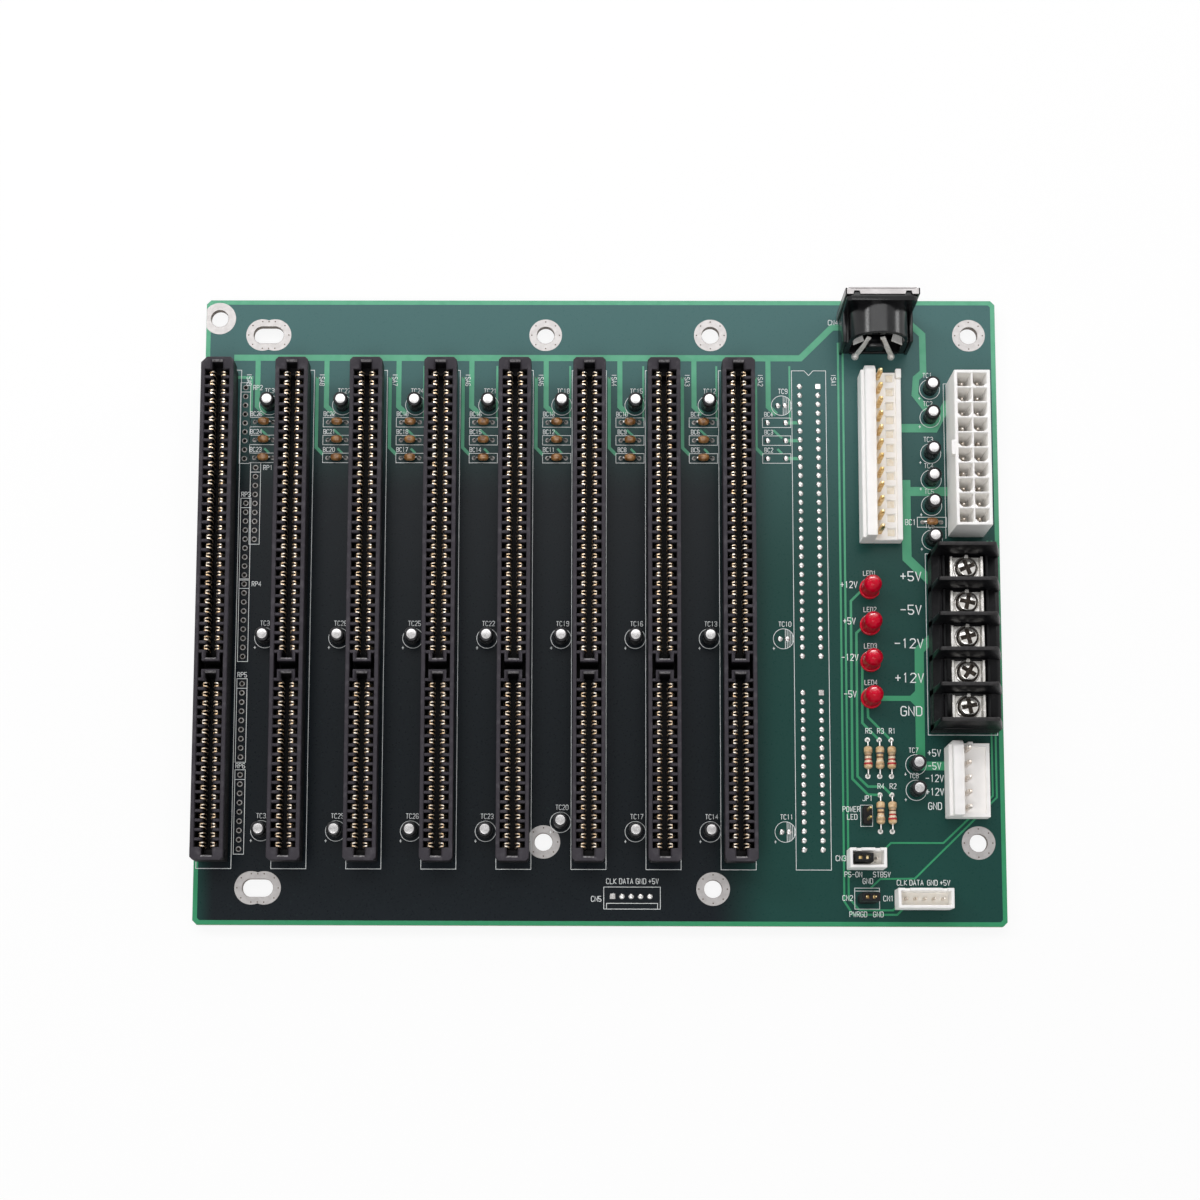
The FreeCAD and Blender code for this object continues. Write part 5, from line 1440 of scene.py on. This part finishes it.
def shrouded_header(name, node, pins_name, pins_node, count):
    """An open box with two notches in its rear wall, and a row of pins along its floor."""
    low, high = box_mm(node)
    _, pin_high = box_mm(pins_node)
    x_middle, y_middle = plan_middle(node)
    left, right = low.x + SHROUD_WALL, high.x - SHROUD_WALL
    front, rear = low.y + SHROUD_WALL, high.y - SHROUD_WALL
    notches = [low.x + SHROUD_END, high.x - SHROUD_END]
    x_cuts = [low.x, left]
    for x in notches:
        x_cuts += [x - SHROUD_NOTCH_HALF, x + SHROUD_NOTCH_HALF]
    x_cuts += [right, high.x]

    def shroud_top(x, y):
        if left < x < right and front < y < rear:
            return SHROUD_FLOOR
        if y > rear and any(abs(x - notch) < SHROUD_NOTCH_HALF for notch in notches):
            return high.z - SHROUD_NOTCH_DEPTH
        return high.z
    box = stepped_block(x_cuts, [low.y, front, rear, high.y], shroud_top, BOARD_TOP)
    floor = brick(left + SHROUD_EASE, right - SHROUD_EASE, front + SHROUD_EASE, rear - SHROUD_EASE,
                  SHROUD_FLOOR, SHROUD_FLOOR + 0.04)
    seat(name, [(nylon, [eased(box, SHROUD_EASE)]), (nylon_recess_lit, [floor])], [node])
    pin = small_pin(SHROUD_FLOOR - 0.2, pin_high.z)
    pins = [moved(pin, x_middle + SHROUD_PITCH * (i - (count - 1) / 2), y_middle) for i in range(count)]
    seat(pins_name, [(pin_tin, pins)], [pins_node])


shrouded_header("keyboard_lead_header", "keyboard_header", "keyboard_lead_pins", "keyboard_pins",
                KEYBOARD_PINS)
shrouded_header("switch_line_header", "switch_header", "switch_line_pins", "switch_pins", SWITCH_PINS)

# Strip headers and jumper caps
# Two-pin header strips of black moulding with gold square pins, and push-on caps that bridge two pins:
# a black box with a finger ridge and a slot in its top through which the spring inside can be probed.
STRIP_PITCH = 2.54
STRIP_NICK = 0.45
CAP_SIDE = 0.9
CAP_END = 0.55
CAP_SLOT_HALF = 0.5
CAP_SLOT_DEPTH = 1.6
CAP_SPRING_HALVES = (1.3, 0.42)
CAP_RIDGE_HALF = 0.45
CAP_RIDGE_NICK = 0.8
strip_black = new_finish("strip_black", (0.012, 0.012, 0.013), 0.4, specular=0.14)
drift(strip_black, 1.0, (0.005, 0.005, 0.006), (0.013, 0.013, 0.014))
grain(strip_black, 0.25, 0.015, (0.32, 0.5))


def strip_header(name, node, pins_name, pins_node, along):
    """A block with nicked corners and two pins, set along x or along y."""
    low, high = box_mm(node)
    _, pin_high = box_mm(pins_node)
    x, y = plan_middle(node)
    half_x, half_y = (high.x - low.x) / 2, (high.y - low.y) / 2
    plan = cut_rectangle(-half_x, half_x, -half_y, half_y, STRIP_NICK)
    body = moved(eased(upright_prism(plan, BOARD_TOP, high.z), 0.1), x, y)
    seat(name, [(strip_black, [body])], [node])
    pin = small_pin(high.z - 0.2, pin_high.z)
    step_x, step_y = (0.0, STRIP_PITCH / 2) if along == "y" else (STRIP_PITCH / 2, 0.0)
    pins = [moved(pin, x + side * step_x, y + side * step_y) for side in (-1, 1)]
    seat(pins_name, [(pin_gold, pins)], [pins_node])


def jumper_cap(name, node):
    """A cap with a slot across its top, on either side of a ridge that is nicked at its rear end."""
    low, high = box_mm(node)
    x_middle, y_middle = plan_middle(node)
    left, right, rear = low.x + CAP_SIDE, high.x - CAP_SIDE, high.y - CAP_END
    x_cuts = [low.x, left, x_middle - CAP_RIDGE_HALF, x_middle + CAP_RIDGE_HALF, right, high.x]
    y_cuts = [low.y, low.y + CAP_END, y_middle - CAP_SLOT_HALF, y_middle + CAP_SLOT_HALF, rear, high.y]

    def cap_top(x, y):
        on_ridge = abs(x - x_middle) < CAP_RIDGE_HALF
        if abs(y - y_middle) < CAP_SLOT_HALF and left < x < right and not on_ridge:
            return high.z - CAP_SLOT_DEPTH
        return high.z - CAP_RIDGE_NICK if on_ridge and y > rear else high.z
    shell = eased(stepped_block(x_cuts, y_cuts, cap_top, low.z), 0.09)
    spring_face = brick_about(x_middle, y_middle, *CAP_SPRING_HALVES, high.z - CAP_SLOT_DEPTH - 0.02,
                              high.z - CAP_SLOT_DEPTH + 0.05)
    seat(name, [(strip_black, [shell]), (pin_gold, [spring_face])], [node])


strip_header("signal_strip", "signal_header", "signal_strip_pins", "signal_pins", "x")
strip_header("lamp_strip", "lamp_header", "lamp_strip_pins", "lamp_pins", "y")
jumper_cap("signal_cap", "signal_jumper_cap")
jumper_cap("switch_cap", "switch_jumper_cap")

# Indicator lamps
# Four 5 mm lamps of cast red epoxy: a domed barrel on a thicker rim with one flat side, each held by its
# two tinned leads.
LAMP_RADIUS = 2.5
LAMP_RIM = 2.9
LAMP_FLAT = LAMP_RADIUS + 0.05
LAMP_SIDES = 40
DOME_STEPS = 9
lens_red = new_finish("lamp_red", (0.62, 0.002, 0.024), 0.06, specular=0.12)
shader_socket(lens_red, "Coat Roughness").default_value = 0.04
shader_socket(lens_red, "Coat IOR").default_value = 2.2
facing = facing_parts(lens_red)
on_cap = worked_out(lens_red, "MULTIPLY", between(lens_red, facing["Z"], 0.4, 0.6),
                    between(lens_red, facing["Y"], 0.2, 0.4))
join(lens_red, on_cap, shader_socket(lens_red, "Coat Weight"))
drift(lens_red, 1.5, (0.54, 0.002, 0.018), (0.66, 0.003, 0.028))
grain(lens_red, 1.2, 0.001, (0.03, 0.06))
for index in range(len(LAMP_Y)):
    node = f"indicator_led_{index + 1}"
    low, high = box_mm(node)
    shoulder = high.z - LAMP_RADIUS
    profile = [(LAMP_RIM - 0.1, low.z), (LAMP_RIM, low.z + 0.1), (LAMP_RIM, low.z + 0.9),
               (LAMP_RIM - 0.12, low.z + 1.0), (LAMP_RADIUS + 0.04, low.z + 1.02),
               (LAMP_RADIUS, low.z + 1.15), (LAMP_RADIUS, shoulder)]
    dome_angles = [math.pi / 2 * k / DOME_STEPS for k in range(1, DOME_STEPS)]
    profile += [on_circle(LAMP_RADIUS, angle, 0.0, shoulder) for angle in dome_angles]
    points, faces = turned(profile + [(0.08, high.z)], LAMP_SIDES)
    barrel = [(min(x, LAMP_FLAT), y, z) for x, y, z in points], faces
    seat(f"lamp_{index + 1}", [(lens_red, [moved(barrel, *plan_middle(node))])], [node])

# Resistors
# Quarter-watt film resistors: a ceramic rod with a cap pressed on each end, dipped in tan lacquer, which
# gives the waist, and banded by wheel. Tinned leads bend down into the board at both ends.
RESISTOR_RADIUS = 1.15
RESISTOR_WAIST = 0.92
RESISTOR_HALF = 3.15
LEAD_RADIUS = 0.26
LEAD_SPAN = 5.0
LEAD_RING = (0.3, 0.72)
RESISTOR_SIDES = 24
RESISTOR_STEPS = 36
RESISTOR_END = 0.7
RESISTOR_END_LEAST = 0.12
RESISTOR_CAP = 1.5
RESISTOR_NECK = 0.9
BAND_RISE = 0.025
lacquer = new_finish("tan_lacquer", (0.62, 0.42, 0.22), 0.28)
drift(lacquer, 1.0, (0.56, 0.35, 0.16), (0.76, 0.56, 0.34))
grain(lacquer, 0.6, 0.01, (0.2, 0.36))
lead_tin = new_finish("tinned_lead", (0.62, 0.60, 0.58), 0.28, metallic=1.0)
drift(lead_tin, 0.8, (0.50, 0.48, 0.46), (0.68, 0.66, 0.64))
grain(lead_tin, 0.3, 0.012, (0.2, 0.36))


def band_paint(name, colour):
    finish = new_finish(name, colour, 0.3)
    drift(finish, 0.5, tuple(c * 0.8 for c in colour), tuple(min(1.0, c * 1.2) for c in colour))
    return finish


BAND_RED = band_paint("band_red", (0.42, 0.012, 0.02))
BAND_BROWN = band_paint("band_brown", (0.12, 0.045, 0.018))
BAND_GREY = band_paint("band_grey", (0.10, 0.09, 0.085))
BAND_PALE = band_paint("band_pale", (0.74, 0.62, 0.46))
BAND_TAN = band_paint("band_tan", (0.42, 0.30, 0.17))


def resistor_radius(along):
    """Radius along the body: full over the end caps and drawn in at the waist, rounded at the ends."""
    reach = abs(along)
    if reach > RESISTOR_HALF - RESISTOR_END:
        share = (reach - (RESISTOR_HALF - RESISTOR_END)) / RESISTOR_END
        return RESISTOR_RADIUS * math.sqrt(max(RESISTOR_END_LEAST, 1.0 - share * share))
    if reach > RESISTOR_CAP:
        return RESISTOR_RADIUS
    share = max(0.0, (reach - RESISTOR_NECK) / (RESISTOR_CAP - RESISTOR_NECK))
    return RESISTOR_WAIST + (RESISTOR_RADIUS - RESISTOR_WAIST) * share


def band_radius(along):
    return resistor_radius(along) + BAND_RISE


def lying_round(stations, radius_at):
    """A round body along y, given its stations and its radius at each."""
    turns = [2 * math.pi * k / RESISTOR_SIDES for k in range(RESISTOR_SIDES)]
    loops = []
    for y in stations:
        loops.append([(x, y, z) for x, z in [on_circle(radius_at(y), angle) for angle in turns]])
    return loft(loops)


def wire(path, radius, sides=10):
    """A round wire along a path of (x, y, z) points."""
    loops = []
    for i, point in enumerate(path):
        start = Vector(path[max(i - 1, 0)])
        end = Vector(path[min(i + 1, len(path) - 1)])
        run = (end - start).normalized()
        side = run.orthogonal().normalized() if i == 0 else (side - run * side.dot(run)).normalized()
        other = run.cross(side)
        loop = []
        for k in range(sides):
            angle = 2 * math.pi * k / sides
            offset = side * math.cos(angle) * radius + other * math.sin(angle) * radius
            loop.append(tuple(Vector(point) + offset))
        loops.append(loop)
    return loft(loops)


# Each band's paint, place along the body and half width.
RED_BANDED = [(BAND_TAN, 1.2, 0.3), (BAND_BROWN, 0.55, 0.17), (BAND_PALE, 0.0, 0.3), (BAND_RED, -0.55, 0.19),
              (BAND_PALE, -1.12, 0.28), (BAND_RED, -1.72, 0.26)]
# The pale ring of the brown-banded set is a painted highlight on the body.
BROWN_BANDED = [(BAND_GREY, 1.1, 0.24), (BAND_BROWN, 0.05, 0.22), (BAND_PALE, -0.95, 0.26),
                (BAND_TAN, -1.9, 0.3)]
BAND_SETS = [RED_BANDED, BROWN_BANDED, RED_BANDED, BROWN_BANDED, RED_BANDED]
body_stations = [-RESISTOR_HALF + RESISTOR_HALF * 2 * i / RESISTOR_STEPS for i in range(RESISTOR_STEPS + 1)]
body = lying_round(body_stations, resistor_radius)
for index, bands in enumerate(BAND_SETS):
    node = f"resistor_{index + 1}"
    low, high = box_mm(node)
    x, y = plan_middle(node)
    z = (low.z + high.z) / 2
    made_of = [(lacquer, [moved(body, x, y, z)])]
    for finish, along, half in bands:
        stations = [along + half * share for share in (-1.0, -0.5, 0.0, 0.5, 1.0)]
        made_of.append((finish, [moved(lying_round(stations, band_radius), x, y, z)]))
    leads = []
    for side in (-1, 1):
        foot_y = y + side * LEAD_SPAN
        path = [(x, y + side * (RESISTOR_HALF - 0.3), z), (x, y + side * (LEAD_SPAN - 0.7), z),
                (x, y + side * (LEAD_SPAN - 0.15), z - 0.3), (x, foot_y, z - 0.8), (x, foot_y, BOARD_TOP)]
        leads += [wire(path, LEAD_RADIUS), pad_ring(x, foot_y, *LEAD_RING)]
    made_of.append((lead_tin, leads))
    seat(f"film_resistor_{index + 1}", made_of, [node])

# Upright capacitors
# Small aluminium cans in black shrink sleeve: the sleeve turns in over the rolled top edge and leaves a
# bright disc, and a rubber bung closes the foot. They stand on the board on two leads.
CAN_RADIUS = 2.0
CAN_DISC = 1.32
CAN_SIDES = 36
can_sleeve = new_finish("can_sleeve", (0.008, 0.008, 0.009), 0.3, specular=0.2)
drift(can_sleeve, 2.0, (0.008, 0.008, 0.009), (0.020, 0.020, 0.022))
grain(can_sleeve, 0.8, 0.012, (0.22, 0.4))
can_metal = new_finish("can_disc", (0.46, 0.45, 0.45), 0.25, metallic=0.9)
drift(can_metal, 0.9, (0.41, 0.40, 0.40), (0.49, 0.48, 0.48))
grain(can_metal, 1.5, 0.003, (0.2, 0.28))
_, can_high = box_mm("bus_capacitors_upper")
CAN_TOP = can_high.z
can_skin = turned([
    (1.75, BOARD_TOP), (1.92, BOARD_TOP + 0.15), (1.92, BOARD_TOP + 0.7), (1.82, BOARD_TOP + 0.95),
    (1.84, BOARD_TOP + 1.1), (CAN_RADIUS, BOARD_TOP + 1.4), (CAN_RADIUS, CAN_TOP - 0.35),
    (CAN_RADIUS - 0.1, CAN_TOP - 0.12), (CAN_RADIUS - 0.35, CAN_TOP), (CAN_DISC + 0.08, CAN_TOP - 0.01),
    (CAN_DISC, CAN_TOP - 0.1), (0.1, CAN_TOP - 0.11),
], CAN_SIDES)
can_disc = turned([(CAN_DISC, CAN_TOP - 0.12), (CAN_DISC, CAN_TOP - 0.05), (CAN_DISC - 0.1, CAN_TOP - 0.03),
                   (0.1, CAN_TOP - 0.03)], CAN_SIDES)


def can_group(name, node, places):
    skins = [moved(can_skin, x, y) for x, y in places]
    discs = [moved(can_disc, x, y) for x, y in places]
    seat(name, [(can_sleeve, skins), (can_metal, discs)], [node])


for row in CAN_Y:
    can_group(f"cans_{row}", f"bus_capacitors_{row}", [(x, y) for name, x, y in fitted_cans if name == row])
can_group("cans_supply", "supply_capacitors", SUPPLY_CANS)

# Bypass capacitors
# Small axial ceramic capacitors dipped in brown lacquer, lying on the board between the slots with their
# tinned leads bent down through it.
BEAD_HALF = 1.6
BEAD_RADIUS = 1.05
BEAD_END_LEAST = 0.02
BEAD_FULLNESS = 0.45
BEAD_WIRE = 0.3
BEAD_WIRE_SIDES = 8
BEAD_RING = (0.3, 0.62)
BEAD_Z = BOARD_TOP + BEAD_RADIUS
bead_brown = new_finish("bead_brown", (0.20, 0.075, 0.025), 0.24)
drift(bead_brown, 1.2, (0.20, 0.085, 0.025), (0.44, 0.22, 0.08))
grain(bead_brown, 0.7, 0.012, (0.16, 0.32))


def bead_radius(along):
    return BEAD_RADIUS * math.pow(max(BEAD_END_LEAST, 1.0 - abs(along / BEAD_HALF) ** 3), BEAD_FULLNESS)


half_stations = (0.2, 0.5, 0.75, 0.9, 0.97, 1.0)
bead_stations = [-BEAD_HALF * s for s in reversed(half_stations)] + [BEAD_HALF * s for s in half_stations]
bead_body = moved(lying_round(bead_stations, bead_radius), 0.0, 0.0, BEAD_Z, math.pi / 2)
bead_leads, bead_pads = [], []
for side in (-1, 1):
    path = [(side * (BEAD_HALF - 0.25), 0.0, BEAD_Z - 0.1), (side * (BEAD_LEAD - 0.45), 0.0, BEAD_Z - 0.2),
            (side * (BEAD_LEAD - 0.08), 0.0, BEAD_Z - 0.5), (side * BEAD_LEAD, 0.0, BOARD_TOP)]
    bead_leads.append(wire(path, BEAD_WIRE, BEAD_WIRE_SIDES))
    bead_pads.append(pad_ring(side * BEAD_LEAD, 0.0, *BEAD_RING))
bead_places = [(x + BEAD_X_STEP, y) for x in SLOT_X[:-1] for y in BEAD_Y] + [SUPPLY_BEAD]
seat("bypass_beads", [
    (bead_brown, [moved(bead_body, x, y) for x, y in bead_places]),
    (lead_tin, [moved(part, x, y) for x, y in bead_places for part in bead_leads]),
    (dull_tin, [moved(part, x, y) for x, y in bead_places for part in bead_pads]),
], ["bypass_capacitors"])

# Solder side
# Under the board every lead and contact ends in a bright fillet of solder with the clipped tip of the lead
# standing out of it: 98 for each slot, and one for each lead of the other parts.
TIP = 0.12
FILLET_SIDES = 10
LAMP_LEAD = 1.27


def fillet(radius, tip_radius):
    """A solder fillet below the board with a clipped lead in the middle."""
    under = BOARD_UNDER
    return turned([(radius, under + 0.02), (radius * 0.96, under - 0.06), (radius * 0.62, under - 0.36),
                   (tip_radius * 1.3, under - 0.85), (tip_radius, under - 1.1), (tip_radius, TIP + 0.08),
                   (tip_radius * 0.6, TIP)], FILLET_SIDES)


def pins_along(node, count, half, along):
    """The places of a row of square pins, worked out from the box of the row."""
    low, high = box_mm(node)
    x, y = plan_middle(node)
    places = []
    for i in range(count):
        share = i / (count - 1)
        if along == "x":
            x = low.x + half + (high.x - low.x - 2 * half) * share
        else:
            y = low.y + half + (high.y - low.y - 2 * half) * share
        places.append((x, y))
    return places


large_fillet = fillet(1.25, 0.55)
small_fillet = fillet(0.8, 0.3)
slot_leads = [(x + side * SLOT_LEAD, y) for x in SLOT_X for y in ROW_Y for side in (-1, 1)]
seat("slot_joints", [(solder, [moved(small_fillet, x, y) for x, y in slot_leads])])

large_leads = pins_along("at_power_pins", MAIN_PINS, SUPPLY_PIN_HALF, "y")
large_leads += pins_along("aux_power_pins", AUX_PINS, SUPPLY_PIN_HALF, "y")
large_leads += [(x, y) for x in cell_x for y in cell_y]
large_leads += [(SCREW_X, y) for y in bay_y]
large_leads += [(SOCKET_X + side * LUG_FOOT, SOCKET_BACK - 0.5) for side in (-1, 1)]
small_leads = []
pin_lines = (("keyboard_pins", KEYBOARD_PINS, "x"), ("switch_pins", SWITCH_PINS, "x"),
             ("signal_pins", 2, "x"), ("lamp_pins", 2, "y"))
for node, count, along in pin_lines:
    small_leads += pins_along(node, count, SMALL_PIN_HALF, along)
small_leads += [(LAMP_X + side * LAMP_LEAD, y) for y in LAMP_Y for side in (-1, 1)]
connector_joints = [moved(large_fillet, x, y) for x, y in large_leads]
connector_joints += [moved(small_fillet, x, y) for x, y in small_leads]
seat("connector_joints", [(solder, connector_joints)], ["connector_solder_joints"])

can_places = [(x, y) for _, x, y in fitted_cans] + SUPPLY_CANS
part_leads = [(x + side * CAN_LEAD, y) for x, y in can_places for side in (-1, 1)]
part_leads += [(x + side * BEAD_LEAD, y) for x, y in bead_places for side in (-1, 1)]
resistor_places = [plan_middle(f"resistor_{index + 1}") for index in range(len(BAND_SETS))]
part_leads += [(x, y + side * LEAD_SPAN) for x, y in resistor_places for side in (-1, 1)]
part_joints = [moved(small_fillet, x, y) for x, y in part_leads]
seat("capacitor_joints", [(solder, part_joints)], ["capacitor_solder_joints"])

# Studio
# A pale floor, broad soft lights over the board's rear and front edges, two compact ones at the rear corners
# and a low card behind, in an even pale surround. The camera stands over the front edge and looks down.
FLOOR_HALF = 3.0
FLOOR_DROP = 0.0002
FLOOR_WHITE = 0.92
PAPER_FADE = (0.3, 1.5)
PAPER_GLOW = (0.88, 1.0)
SURROUND = 0.26
BOARD_MIDDLE = (0.0, 0.0, 0.0)
floor_plan = rectangle(-FLOOR_HALF, FLOOR_HALF, -FLOOR_HALF, FLOOR_HALF)
floor_mesh = bpy.data.meshes.new("studio_floor")
floor_mesh.from_pydata([(x, y, -FLOOR_DROP) for x, y in floor_plan], [], [(0, 1, 2, 3)])
floor = bpy.data.objects.new("studio_floor", floor_mesh)
bpy.context.scene.collection.objects.link(floor)


def seen_directly(finish):
    """1 for the rays that show the background: straight, in a reflection or through something clear."""
    path = add_node(finish, "ShaderNodeLightPath")
    seen = path.outputs["Is Camera Ray"]
    for name in ("Is Glossy Ray", "Is Transmission Ray"):
        seen = worked_out(finish, "MAXIMUM", seen, path.outputs[name])
    return seen


paper = new_finish("studio_paper", (FLOOR_WHITE, FLOOR_WHITE, FLOOR_WHITE), 0.9)
glow = add_node(paper, "ShaderNodeEmission")
glow.inputs["Color"].default_value = (1.0, 1.0, 1.0, 1.0)
glow.inputs["Strength"].default_value = 1.0
far_out = add_node(paper, "ShaderNodeVectorMath")
far_out.operation = "LENGTH"
join(paper, place_on_object(paper), far_out.inputs[0])
white_share = between(paper, far_out.outputs["Value"], *PAPER_FADE, *PAPER_GLOW)
paper_mix = add_node(paper, "ShaderNodeMixShader")
join(paper, worked_out(paper, "MULTIPLY", seen_directly(paper), white_share), paper_mix.inputs["Fac"])
join(paper, paper.node_tree.nodes["Principled BSDF"].outputs["BSDF"], paper_mix.inputs[1])
join(paper, glow.outputs["Emission"], paper_mix.inputs[2])
join(paper, paper_mix.outputs["Shader"], paper.node_tree.nodes["Material Output"].inputs["Surface"])
floor_mesh.materials.append(paper)


def soft_light(name, place, width, depth, watts):
    lamp = bpy.data.lights.new(name, "AREA")
    lamp.shape = "RECTANGLE"
    lamp.size = width
    lamp.size_y = depth
    lamp.energy = watts
    holder = bpy.data.objects.new(name, lamp)
    holder.location = place
    holder.rotation_euler = (Vector(BOARD_MIDDLE) - Vector(place)).to_track_quat("-Z", "Y").to_euler()
    bpy.context.scene.collection.objects.link(holder)


soft_light("rear_softbox", (0.0, 0.42, 0.72), 0.9, 0.42, 3.0)
soft_light("front_softbox", (-0.1, -0.38, 0.9), 0.6, 0.35, 2.9)
soft_light("left_softbox", (-0.62, 0.43, 0.60), 0.2, 0.2, 1.6)
soft_light("right_softbox", (0.93, 0.41, 0.27), 0.25, 0.25, 1.4)
soft_light("rear_card", (0.0, 0.95, 0.22), 0.7, 0.22, 2.5)

surround = bpy.data.worlds.new("studio_surround")
surround.use_nodes = True
air = surround.node_tree.nodes["Background"]
air.inputs["Color"].default_value = (1.0, 1.0, 1.0, 1.0)
join(surround, between(surround, seen_directly(surround), 0.0, 1.0, SURROUND, 1.0), air.inputs["Strength"])
bpy.context.scene.world = surround

lens = bpy.data.cameras.new("photo_camera")
lens.lens = 60.91
lens.sensor_width = 36.0
lens.shift_x = 0.03
lens.shift_y = 0.2
camera = bpy.data.objects.new("photo_camera", lens)
camera.location = (-0.00637, -0.12654, 0.55)
camera.rotation_euler = (0.1135, 0.0056, 0.0032)
bpy.context.scene.collection.objects.link(camera)
bpy.context.scene.camera = camera
bpy.context.scene.view_settings.view_transform = "Standard"
